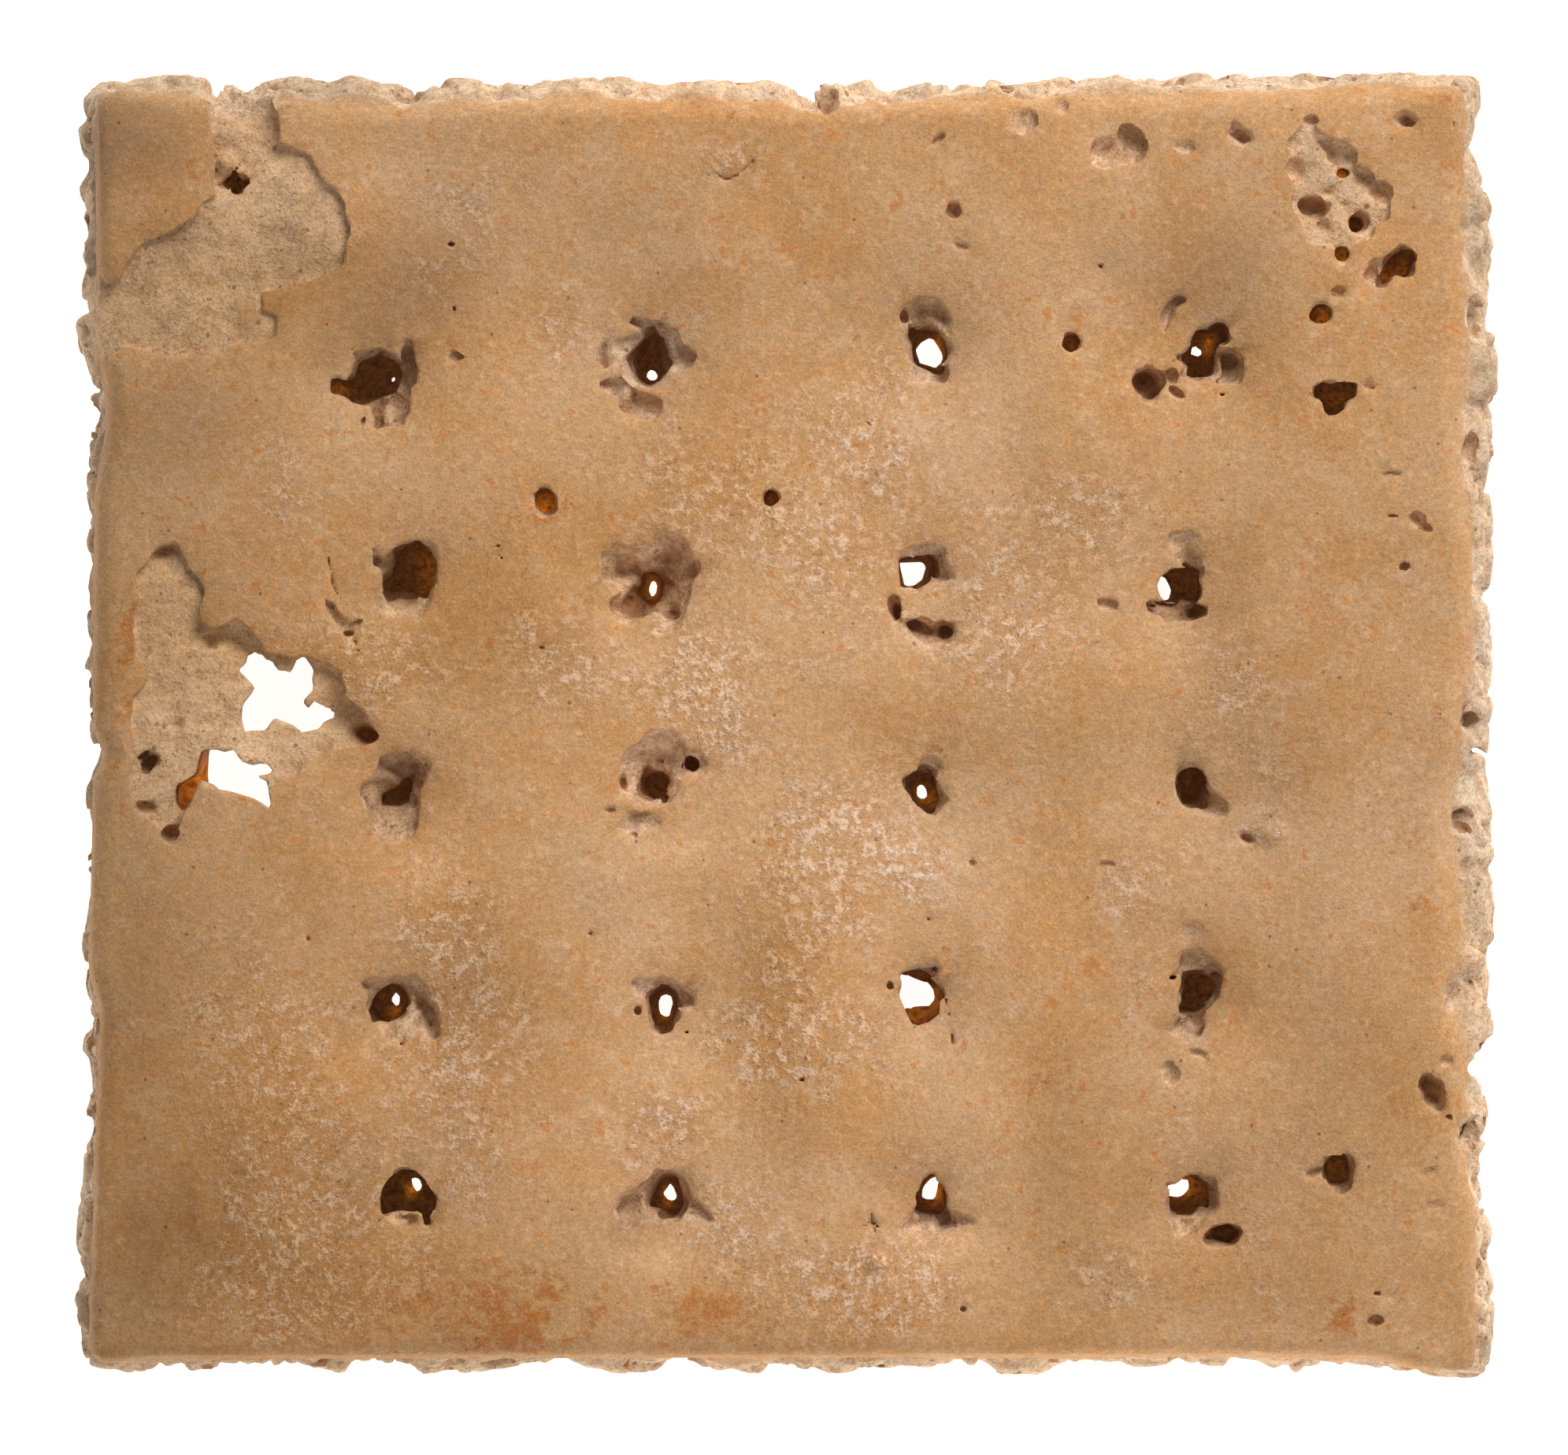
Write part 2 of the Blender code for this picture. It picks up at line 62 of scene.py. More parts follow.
LENGTH, WIDTH, THICKNESS = ((cad_high - cad_low) / MM)[:]
print(f"slab {LENGTH:.1f} x {WIDTH:.1f} x {THICKNESS:.1f} mm")

# %% [markdown]
# ## A lattice to think on
#
# A sheet worked out from two parameters can't be torn through or hollowed under its own crust,
# and this slab is both. So each face of the slab is still a function of two parameters, but the
# faces meet in a field: one number at each point of a fine lattice, negative in the bread and
# positive in the air. Cutting a hole is then one minimum or maximum of whole arrays, and a net
# is drawn at the end through the places where the number changes sign.

# %% The lattice, in millimetres
STEP = 0.165
MARGIN = 3 * STEP


def lattice(low, high):
    """Evenly spaced places from a margin below low to a margin above high."""
    return np.arange(low - MARGIN, high + MARGIN, STEP, dtype=np.float32)


X = lattice(-LENGTH / 2, LENGTH / 2)
Y = lattice(-WIDTH / 2, WIDTH / 2)
Z = lattice(0, THICKNESS)
print("lattice of", len(X), "by", len(Y), "by", len(Z))

# %% [markdown]
# Noise comes from a coarse lattice of random numbers, blurred to a smooth field by cubic
# B-spline weights. The weights along each axis form a matrix, so a whole field of noise is three
# matrix products.

# %% Noise and easing
rng = np.random.default_rng(1862)
SPREAD = 1.44


def knot_weights(places, size, knots):
    """Cubic B-spline weight of every knot at every place: a matrix of places by knots."""
    t = (places - places[0]) / size
    base = np.floor(t).astype(int)
    f = t - base
    weights = np.zeros((len(places), knots), np.float32)
    row = np.arange(len(places))
    weights[row, base] = (1 - f) ** 3 / 6
    weights[row, base + 1] = (3 * f ** 3 - 6 * f ** 2 + 4) / 6
    weights[row, base + 2] = (-3 * f ** 3 + 3 * f ** 2 + 3 * f + 1) / 6
    weights[row, base + 3] = f ** 3 / 6
    return weights * SPREAD


def noise(axes, sizes):
    """Smooth noise of about unit spread on the given axes, with lumps of the given sizes."""
    knots = [int((a[-1] - a[0]) / s) + 5 for a, s in zip(axes, sizes)]
    field = rng.standard_normal(knots).astype(np.float32)
    for a, s, n in zip(axes, sizes, knots):
        field = np.tensordot(field, knot_weights(a, s, n), (0, 1))
    return field


def ease(t, low=0.0, high=1.0):
    """0 below low, 1 above high, and a smooth step between."""
    t = np.clip((t - low) / (high - low), 0, 1)
    return t * t * (3 - 2 * t)


def along(line, places):
    """Reads a line of (place, distance) points, easing from each point to the next."""
    knots, values = np.array(line, np.float32).T
    k = np.clip(np.searchsorted(knots, places) - 1, 0, len(knots) - 2)
    share = ease((places - knots[k]) / (knots[k + 1] - knots[k]))
    return values[k] + (values[k + 1] - values[k]) * share


def larger(a, b, soften):
    """The larger of two fields, with the crease between them rounded over about soften."""
    h = np.clip(soften - np.abs(a - b), 0, None) / soften
    return np.maximum(a, b) + h * h * (soften / 4)


def smaller(a, b, soften):
    """The smaller of two fields, rounded in the same way."""
    return -larger(-a, -b, soften)


def turned(x, y, px, py, turn=0):
    """Places measured from (px, py) along axes turned by an angle in degrees."""
    c, s = np.cos(np.radians(turn)), np.sin(np.radians(turn))
    return (x - px) * c + (y - py) * s, (y - py) * c - (x - px) * s


def mounds(places, x, y):
    """Sum of rise * exp(-(across / rx)^2 - (up / ry)^2), for each (x, y, rx, ry, rise[, turn])."""
    total = np.zeros(np.broadcast(x, y).shape, np.float32)
    for px, py, rx, ry, rise, *turn in places:
        u, v = turned(x, y, px, py, *turn)
        u, v = u / rx, v / ry
        total += rise * np.exp(-(u * u + v * v))
    return total


print(f"an easing step passes {ease(0.25):.2f}, {ease(0.5):.2f} and {ease(0.75):.2f} on its way to 1")

# %% [markdown]
# ## The quilted top
#
# Pins held the dough down in four columns and five rows while it rose, so the top swells between
# the holes and dips at each. On top of that come broad swells where the sheet baked unevenly,
# a few bumps, a droop towards the edges, and the fine unevenness of the crust itself. Each dip,
# swell and bump is a mound, because a sum of mounds has no creases where two of them meet.

# %% Height of the top over the plan
DOCK_DIPS = (
    (-22.1, 19.3, 0.75), (-7.7, 20.4, 0.75), (7.9, 20.7, 0.95), (23.1, 20.5, 1), (-20.8, 8.4, 0.8),
    (-7.3, 8, 0.95), (7.4, 8.8, 0.7), (22, 7.8, 0.85), (-21.5, -3.6, 0.95), (-7.3, -3.2, 1),
    (7.9, -3.4, 1.15), (22.5, -3.3, 0.95), (-21.9, -15.5, 0.9), (-6.8, -15.7, 0.85), (7.5, -15.1, 1.1),
    (23.1, -14.6, 0.95), (-20.9, -25.8, 0.8), (-6.5, -25.9, 1), (8.3, -26.1, 1.15), (22.7, -26, 0.95),
)
DIP_WIDTH = 3.7
SWELLS = (
    (12, 15, 2.6, 7, -0.32), (17, 13, 3, 8, 0.1), (12.3, -22, 2.6, 9, -0.42, 4), (18, -23, 3.2, 9, 0.12),
    (-3.6, -13, 2.4, 6, -0.35, 25), (-2, -22, 2.4, 4.5, -0.3), (12.5, -1, 3, 3.5, -0.3, 30),
    (-17.5, 6.5, 3, 4.5, -0.25), (-15.5, 25, 4.5, 4, 0.05, 30), (-21, 27.5, 4.5, 3, 0.1, -15),
    (25, 28, 5, 3, 0.1), (-9, 30, 5, 3, 0.1, -10), (-33.5, -24, 3, 8, -0.55, 8), (-38, -30, 9, 9, -0.45),
    (-38, 33, 7, 5, -0.35), (30, -20, 4, 7, -0.12), (-24.5, 5.6, 1.6, 1.6, 0.1),
)
BUMPS = (
    (5.2, -29.6, 0.6, 0.55, 0.6), (26.9, -5.9, 0.75, 0.55, 0.5), (-32.4, -26.5, 0.5, 1.8, 0.22),
    (5.3, -26.9, 0.7, 0.6, 0.3), (-3.5, 31.3, 1.2, 0.8, 0.15),
)
PLAIN_DROP = 0.30
HEADROOM = 0.02
EDGE_DROOP = 0.12
DROOP_POWER = 8
GRAIN_SIZES = ((6.0, 0.07), (2.2, 0.045))

plan_x, plan_y = X[:, None], Y[None, :]
dips = [(x, y, DIP_WIDTH, DIP_WIDTH, -depth) for x, y, depth in DOCK_DIPS]
top = THICKNESS - PLAIN_DROP + mounds(dips, plan_x, plan_y) + mounds(SWELLS, plan_x, plan_y)
top -= EDGE_DROOP * ((2 * plan_x / LENGTH) ** DROOP_POWER + (2 * plan_y / WIDTH) ** DROOP_POWER)
for size, rise in GRAIN_SIZES:
    top += rise * noise((X, Y), (size, size))
smooth_top = np.minimum(top, THICKNESS - HEADROOM)
top = np.minimum(smooth_top + mounds(BUMPS, plan_x, plan_y), THICKNESS - HEADROOM)
print(f"top between {top.min():.2f} and {top.max():.2f} mm high")

# %% [markdown]
# ## The four sides
#
# The top crust ends in a nearly straight line on each side. Under it the crumb is torn, and
# sticks out in lumps past the crust, high up at the right and the back where the sheet was
# snapped, and low down at the left and the front where the crust wraps round the edge. Each
# side is a distance from the middle, as a function of the place along the side and the height.

# %% Side lines, as (place along the side, distance from the middle)
CRUST = {
    "right": ((-36, 38.5), (-27, 38.5), (-24, 38.0), (-19, 37.9), (-15, 37.0), (-10, 37.4),
              (-4.5, 36.8), (0, 37.6), (7, 38.3), (16, 37.6), (27, 37.7), (36, 38.0)),
    "back": ((-38, 35.3), (-30, 34.9), (-21, 34.5), (-12, 34.9), (2, 34.6), (15, 35.0), (38, 35.7)),
    "left": ((-36, 38.5), (-26, 38.2), (-16, 37.9), (-13, 38.5), (-3, 38.3), (-1.5, 37.7),
             (0, 38.3), (12, 38.2), (17.5, 37.5), (22, 38.0), (36, 38.1)),
    "front": ((-39, 35.3), (-34, 35.0), (25, 34.9), (32, 35.0), (36, 35.7), (39, 35.9)),
}
CRUMB = {
    "right": ((-36, 38.9), (-33, 39.1), (-31, 39.0), (-30.5, 38.8), (-28, 38.9), (-26.5, 38.5),
              (-26.2, 38.8), (-25.2, 38.3), (-24, 38.1), (-23, 38.5), (-22, 38.8), (-20, 38.4),
              (-19, 37.9), (-18, 38.2), (-17, 38.7), (-15, 38.9), (-13.5, 38.7), (-11.5, 39.0),
              (-9, 38.9), (-7.8, 38.4), (-7, 38.9), (-4, 39.0), (-2.2, 38.8), (0.7, 39.2),
              (2, 38.9), (5, 38.7), (8, 38.6), (10.5, 38.9), (13.4, 38.5), (15.3, 38.9),
              (18, 38.7), (18.4, 39.3), (20.3, 39.3), (21.4, 39.2), (22, 38.8), (23, 38.7),
              (24, 38.9), (25, 38.7), (26.8, 39.1), (28, 38.6), (28.8, 38.7), (30, 38.4),
              (31.2, 37.9), (32.5, 38.0), (33.5, 37.9), (34.5, 38.1), (36, 38.0)),
    "back": ((-38.5, 35.6), (-34, 36.1), (-32.4, 36.1), (-31.5, 35.2), (-30, 35.0), (-29, 35.5),
             (-28, 35.8), (-26.2, 36.1), (-25.3, 35.7), (-24, 36.0), (-21.6, 35.6), (-20.2, 35.0),
             (-19.5, 35.4), (-18.3, 35.8), (-17, 35.6), (-16.4, 35.2), (-15, 35.8), (-12.7, 35.5),
             (-10, 35.9), (-8.6, 35.6), (-6.7, 35.2), (-5, 35.7), (-2, 35.2), (-0.3, 35.5),
             (0.8, 35.2), (2.7, 35.3), (3.3, 35.1), (4.8, 35.5), (5.5, 35.0), (7, 35.1),
             (8.1, 35.5), (8.8, 35.8), (9.5, 35.1), (11, 35.2), (11.5, 35.6), (12.7, 35.1),
             (14, 35.4), (15.5, 35.8), (17.5, 35.5), (18.5, 35.9), (19, 35.5), (20, 35.7),
             (21, 35.3), (22, 35.8), (23, 36.3), (25.5, 36.0), (26.7, 35.7), (28, 36.0),
             (29, 36.3), (31, 35.9), (33.5, 36.0), (35.5, 36.2), (38, 36.0)),
    "left": ((-35, 38.5), (-33.5, 39.0), (-32, 39.3), (-30, 38.6), (-28.8, 39.0), (-25, 38.6),
             (-23.7, 39.0), (-22.5, 38.4), (-21.7, 38.8), (-20, 38.0), (-18.6, 38.2), (-18, 38.8),
             (-16, 38.0), (-13, 38.5), (-9, 38.1), (-3, 38.3), (-1.5, 37.8), (0, 38.1), (5, 38.4),
             (10, 38.4), (11, 38.1), (14, 38.4), (16.4, 38.2), (17.5, 37.6), (18.3, 38.2),
             (19.1, 38.0), (20, 38.3), (21.5, 38.8), (22.6, 39.1), (23.1, 38.7), (24, 39.0),
             (25.4, 38.5), (26.6, 38.9), (27.7, 38.5), (28.6, 38.9), (30.1, 39.3), (31.1, 38.8),
             (32.6, 39.1), (33.4, 39.1), (34, 38.5), (36, 38.5)),
    "front": ((-38.5, 35.2), (-36, 35.8), (-34, 35.1), (-33.2, 35.7), (-31.8, 35.7), (-31.4, 35.0),
              (-26, 35.2), (-24.6, 36.0), (-24, 35.3), (-21, 35.0), (-20, 35.9), (-17.9, 35.9),
              (-16, 35.5), (-14.5, 35.1), (-12.8, 35.3), (-9.5, 35.9), (-7.5, 36.0), (-6.2, 35.2),
              (-5.3, 34.9), (-4, 35.7), (-3, 36.0), (-1.8, 35.8), (0, 35.1), (1.5, 35.9),
              (2.8, 35.9), (5, 35.4), (8.2, 35.3), (10, 35.1), (11.5, 35.4), (12.3, 36.0),
              (14.2, 35.9), (16.2, 35.2), (17, 35.0), (20.2, 35.5), (24.6, 35.4), (25.2, 34.8),
              (26, 34.8), (27.7, 35.8), (28.7, 35.7), (29.2, 35.1), (32, 35.0), (35, 35.6),
              (37.7, 36.2), (38.6, 36.0)),
}
CRUMB_SCALE = LENGTH / 78.7
print("crumb lines of", ", ".join(f"{len(line)} points ({name})" for name, line in CRUMB.items()))

# %% [markdown]
# The share by which a side has moved from its crust line out to its crumb line depends on the
# height. A slow noise lifts that profile here and lowers it there, so the lumps don't all sit on
# one level.

# %% Side surfaces
HEIGHTS = (0.0, 0.8, 2.1, 4.2, 6.4, 8.4, 9.9, 10.9, 11.5, 12.5)
INSETS = (1.7, 0.5, 0.0, 0.0, 0.0, 0.0, 0.0, 0.25, 0.6, 1.7)
SHARES = {
    "right": (0.0, 0.4, 0.8, 1.0, 1.0, 1.0, 0.7, 0.2, 0.0, 0.0),
    "back": (0.0, 0.4, 0.8, 1.0, 1.0, 0.9, 0.6, 0.1, 0.0, 0.0),
    "left": (0.0, 0.5, 1.0, 1.0, 0.8, 0.35, 0.05, 0.0, 0.0, 0.0),
    "front": (0.0, 0.8, 1.0, 0.8, 0.3, 0.0, 0.0, 0.0, 0.0, 0.0),
}
LIFT, LIFT_SIZES = 0.7, (3.5, 40.0)
FADE_BELOW, FADE_ABOVE = (0.5, 3.0), (-10.5, -8.0)
CRUMBLY_SHARE = (0.05, 0.45)


def side(name, places):
    """Distance of a side from the middle over (place, height), and how crumbly it is there.

    The distance is crust + (crumb - crust) * share - inset, where share is read at the height
    plus a slow noise that fades out at the foot and at the top."""
    lift = LIFT * noise((places, Z), LIFT_SIZES)
    height = Z[None, :] + lift * ease(Z, *FADE_BELOW) * ease(-Z, *FADE_ABOVE)
    share = np.interp(height, HEIGHTS, SHARES[name])
    crust = along(CRUST[name], places)[:, None]
    crumb = along(CRUMB[name], places)[:, None] * CRUMB_SCALE
    distance = crust + (crumb - crust) * share - np.interp(Z, HEIGHTS, INSETS)[None, :]
    return distance.astype(np.float32), ease(share, *CRUMBLY_SHARE).astype(np.float32)


right, right_crumbly = side("right", Y)
left, left_crumbly = side("left", Y)
back, back_crumbly = side("back", X)
front, front_crumbly = side("front", X)
print(f"sides out to {right.max():.1f}, {left.max():.1f}, {back.max():.1f} and {front.max():.1f} mm")

# %% [markdown]
# ## One field for the whole skin
#
# Torn crumb is a heap of rounded lumps with sharp creases between them: the absolute value of a
# noise has just that shape. Three sizes of it eat into the sides wherever they are crumbly, and
# a flat-lying noise opens slits between the layers of dough. The underside is nearly flat. The
# faces meet by a rounded maximum, and the last of them keeps the bread inside its own box.

# %% The uncut slab
LUMPS, LUMP_FLATNESS = ((2.4, 0.65), (1.2, 0.45), (0.6, 0.25)), 0.85
SLIT_SIZES, SLIT_DEPTH, SLIT_START, SLIT_LIMIT = (3.0, 3.0, 0.6), 0.5, 0.7, 1.2
PROUD = 0.42
CORNER_ROUND, TOP_ROUND, FOOT_ROUND, BOX_ROUND = 1.2, 0.7, 0.6, 0.7
FOOT_RISE, FOOT_SIZE, FOOT_START, FOOT_LIMIT = 0.22, 7.0, 0.2, 1.5

recess = np.full((len(X), len(Y), len(Z)), -PROUD, np.float32)
for size, depth in LUMPS:
    lumps = np.abs(noise((X, Y, Z), (size, size, size * LUMP_FLATNESS)))
    recess += depth * np.clip(1.0 - lumps, 0, None)
recess += SLIT_DEPTH * np.clip(noise((X, Y, Z), SLIT_SIZES) - SLIT_START, 0, SLIT_LIMIT)

x3, y3, z3 = X[:, None, None], Y[None, :, None], Z[None, None, :]
right_left = larger(x3 - right[None] + right_crumbly[None] * recess,
                    -x3 - left[None] + left_crumbly[None] * recess, CORNER_ROUND)
back_front = larger(y3 - back[:, None] + back_crumbly[:, None] * recess,
                    -y3 - front[:, None] + front_crumbly[:, None] * recess, CORNER_ROUND)
skin = larger(right_left, back_front, CORNER_ROUND)
del right_left, back_front, recess, lumps
skin = larger(skin, z3 - top[:, :, None], TOP_ROUND)
foot = FOOT_RISE * np.clip(noise((X, Y), (FOOT_SIZE, FOOT_SIZE)) - FOOT_START, 0, FOOT_LIMIT)
skin = larger(skin, foot[:, :, None] - z3, FOOT_ROUND)
outmost = np.maximum(np.abs(x3) - LENGTH / 2, np.abs(y3) - WIDTH / 2) + 0 * z3
skin = larger(skin, outmost, BOX_ROUND)
print("slab of about", int((skin < 0).sum() * STEP ** 3), "cubic mm before it is cut")

# %% [markdown]
# ## Holes, pits and burst bubbles
#
# A hollow could be a solid that a Boolean takes away, but hundreds of them would be slow and their
# edges clean. Here each is a distance, negative in the air, which is joined to one field of cuts
# and moved by a ragged noise, because bread tears and doesn't cut. Each hollow is worked out
# only in the small block of lattice round it.

# %% Rough noises, blocks and hollows
NOTHING, SKY, GROUND = 9.0, 99, -9
REACH = 0.8
SOFTEN_HOLLOWS = 0.06
FLOOR_GRAIN = ((2.2, 0.10), (0.9, 0.07), (0.45, 0.045))
LOOSE_SIZES, CREASE_SIZES, RAGGED_LIMIT = (1.0, 1.0, 0.8), (0.55, 0.55, 0.5), 1.3
LOOSE_SHARE, CREASE_SHARE, CREASE_MEAN = 0.6, 0.9, 0.8


def plan_noise(grain):
    """A sum of noises over the plan, one for each (size, rise)."""
    return sum(rise * noise((X, Y), (size, size)) for size, rise in grain)


cut = np.full_like(skin, NOTHING)
floor_relief = plan_noise(FLOOR_GRAIN)
loose = noise((X, Y, Z), LOOSE_SIZES)
creased = CREASE_MEAN - np.abs(noise((X, Y, Z), CREASE_SIZES))
ragged = np.clip(LOOSE_SHARE * loose + CREASE_SHARE * creased, -RAGGED_LIMIT, RAGGED_LIMIT)
del loose, creased


def block(low, high):
    """The part of the lattice between two corners: its slices, its axes and the top over it."""
    where = tuple(slice(*np.searchsorted(a, (lo, hi))) for a, lo, hi in zip((X, Y, Z), low, high))
    x, y, z = X[where[0]][:, None, None], Y[where[1]][None, :, None], Z[where[2]][None, None, :]
    return where, x, y, z, top[where[:2]][:, :, None]


def hollow(where, distance, tear, soften=SOFTEN_HOLLOWS):
    """Joins one hollow's distance field to the cut, its wall moved by the ragged noise."""
    cut[where] = smaller(cut[where], distance + tear * ragged[where], soften)


print(f"floors rough to {floor_relief.std():.2f} mm")

# %% [markdown]
# Two tools make round hollows. A cup is an ellipse in plan and a power curve in depth: with a high
# power its walls are steep and its floor flat, with a low one it is a bowl. A ball is a bubble
# that lies anywhere in the slab. Both tear less where they are small, or they would close up.

# %% Cups and balls
CUP_TEAR, BALL_TEAR, TEAR_SHARE = 0.2, 0.18, 0.25
CUP_UNDER = 2


def cup(px, py, rx, ry, turn, depth, wall=5.0):
    """A hollow open at the top: (across / radius)^2 + (sunk / depth)^wall is 1 at its surface."""
    out = max(rx, ry) + REACH
    low, high = (px - out, py - out, THICKNESS - depth - CUP_UNDER), (px + out, py + out, SKY)
    where, x, y, z, over = block(low, high)
    u, v = turned(x, y, px, py, turn)
    sunk = np.clip((over - z) / depth, 0, None)
    level = np.sqrt((u / rx) ** 2 + (v / ry) ** 2 + sunk ** wall)
    small = min(rx, ry)
    hollow(where, (level - 1) * small, min(CUP_TEAR, TEAR_SHARE * small))


def ball(px, py, pz, rx, ry, rz, tear=BALL_TEAR):
    """An ellipsoid of air: the sum of (offset / radius)^2 along the three axes is 1 at its wall."""
    out, up = max(rx, ry) + REACH, rz + REACH
    where, x, y, z, _ = block((px - out, py - out, pz - up), (px + out, py + out, pz + up))
    level = np.sqrt(((x - px) / rx) ** 2 + ((y - py) / ry) ** 2 + ((z - pz) / rz) ** 2)
    small = min(rx, ry, rz)
    hollow(where, (level - 1) * small, min(tear, TEAR_SHARE * small))


print("a wall 1 mm in radius tears by", CUP_TEAR, "mm in a cup and", BALL_TEAR, "mm in a ball")

# %% [markdown]
# Three tools follow a line. A well has a many-cornered rim, walls that lean inwards and a rough
# floor that sinks away from the rim. A throat is a way through with a many-cornered neck. A
# crack is a wedge along a line of points. All of them start from one thing, the distance to the
# nearest edge of an outline, which keeps each corner that the tear has.

# %% Outlines, wells, throats and cracks
FAR, NEARLY_LEVEL = 1e6, 1e-9


def from_segment(x0, y0, x1, y1, x, y):
    """How far along a segment its nearest point lies (0 to 1), and the two offsets from there."""
    ex, ey = x1 - x0, y1 - y0
    t = np.clip(((x - x0) * ex + (y - y0) * ey) / (ex * ex + ey * ey), 0, 1)
    return t, x - x0 - t * ex, y - y0 - t * ey


def outline_distance(corners, x, y):
    """Signed distance to a many-cornered outline, negative inside, by its nearest edge.

    A place is inside if a line from it towards +x crosses the outline an odd number of times."""
    nearest = np.full(np.broadcast(x, y).shape, FAR, np.float32)
    crossings = np.zeros(nearest.shape, bool)
    for (x0, y0), (x1, y1) in zip(corners, corners[1:] + corners[:1]):
        _, dx, dy = from_segment(x0, y0, x1, y1, x, y)
        nearest = np.minimum(nearest, dx ** 2 + dy ** 2)
        rise = (y1 - y0) if y1 != y0 else NEARLY_LEVEL
        passes = (y0 <= y) != (y1 <= y)
        crossings ^= passes & (x < x0 + (y - y0) * (x1 - x0) / rise)
    return np.where(crossings, -1, 1) * np.sqrt(nearest)


WELL_TEAR, TORN_DEEP = 0.14, (0.5, 2.0)
WELL_UNDER, WELL_ROUND, RIM_OUT = 3.5, 0.25, 0.1
BOWL_REACH, ROUGH_FLOOR = 2.5, 2.2


def well(depth, slope, corners, bowl=0.35):
    """A hollow with a many-cornered rim. Its walls lean inwards by slope for each mm of depth,
    and its rough floor sinks by bowl for each mm in from the rim. The wall tears twice as much
    further down."""
    low, high = np.min(corners, 0) - REACH, np.max(corners, 0) + REACH
    where, x, y, z, over = block((*low, THICKNESS - depth - WELL_UNDER), (*high, SKY))
    sunk = over - z
    rim = outline_distance(corners, x, y) - RIM_OUT
    rough = ROUGH_FLOOR * floor_relief[where[:2]][:, :, None]
    ground = depth + bowl * np.clip(-rim, 0, BOWL_REACH) - rough
    torn = WELL_TEAR * (1 + ease(sunk, *TORN_DEEP)) * ragged[where]
    hollow(where, larger(rim + slope * sunk, sunk - ground, WELL_ROUND) + torn, 0.0)


THROAT_TEAR, THROAT_SOFTEN, THROAT_REACH, THROAT_TOP = 0.05, 0.4, 1.5, 10.0
NECK_HEIGHT, NECK_OUT, FLARE_ABOVE, FLARE_BELOW = 3.6, 0.02, 0.09, 0.3


def throat(corners):
    """A way through with a many-cornered neck, which widens slowly above it and faster below."""
    low, high = np.min(corners, 0) - THROAT_REACH, np.max(corners, 0) + THROAT_REACH
    where, x, y, z, _ = block((*low, GROUND), (*high, THROAT_TOP))
    above, below = np.clip(z - NECK_HEIGHT, 0, None), np.clip(NECK_HEIGHT - z, 0, None)
    widen = FLARE_ABOVE * above + FLARE_BELOW * below
    hollow(where, outline_distance(corners, x, y) - NECK_OUT - widen, THROAT_TEAR, THROAT_SOFTEN)


CRACK_TEAR, CRACK_REACH, CRACK_UNDER, CRACK_POINT = 0.04, 0.6, 1, 0.02


def crack(depth, points):
    """A wedge-shaped slit along a line of (x, y, half width): half as wide half as far down."""
    for (x0, y0, w0), (x1, y1, w1) in zip(points, points[1:]):
        low = np.minimum((x0, y0), (x1, y1)) - CRACK_REACH
        high = np.maximum((x0, y0), (x1, y1)) + CRACK_REACH
        where, x, y, z, over = block((*low, THICKNESS - depth - CRACK_UNDER), (*high, SKY))
        t, dx, dy = from_segment(x0, y0, x1, y1, x, y)
        half = w0 + (w1 - w0) * t
        taper = (over - z) / depth * (half + CRACK_POINT)
        hollow(where, np.hypot(dx, dy) - half + taper, CRACK_TEAR)


square_middle = float(outline_distance(((-1, -1), (1, -1), (1, 1), (-1, 1)), 0.0, 0.0))
print(f"the middle of a 2 mm square lies {-square_middle:.1f} mm inside its outline")

# %% [markdown]
# Each pin left a well with leaning walls, and tore shelves of crust off beside it. Light comes
# through fifteen of them, by necks that the crumb has half closed. The other five are blocked
# on the way, and only dent the underside. No two are alike, so each keeps its own outline.

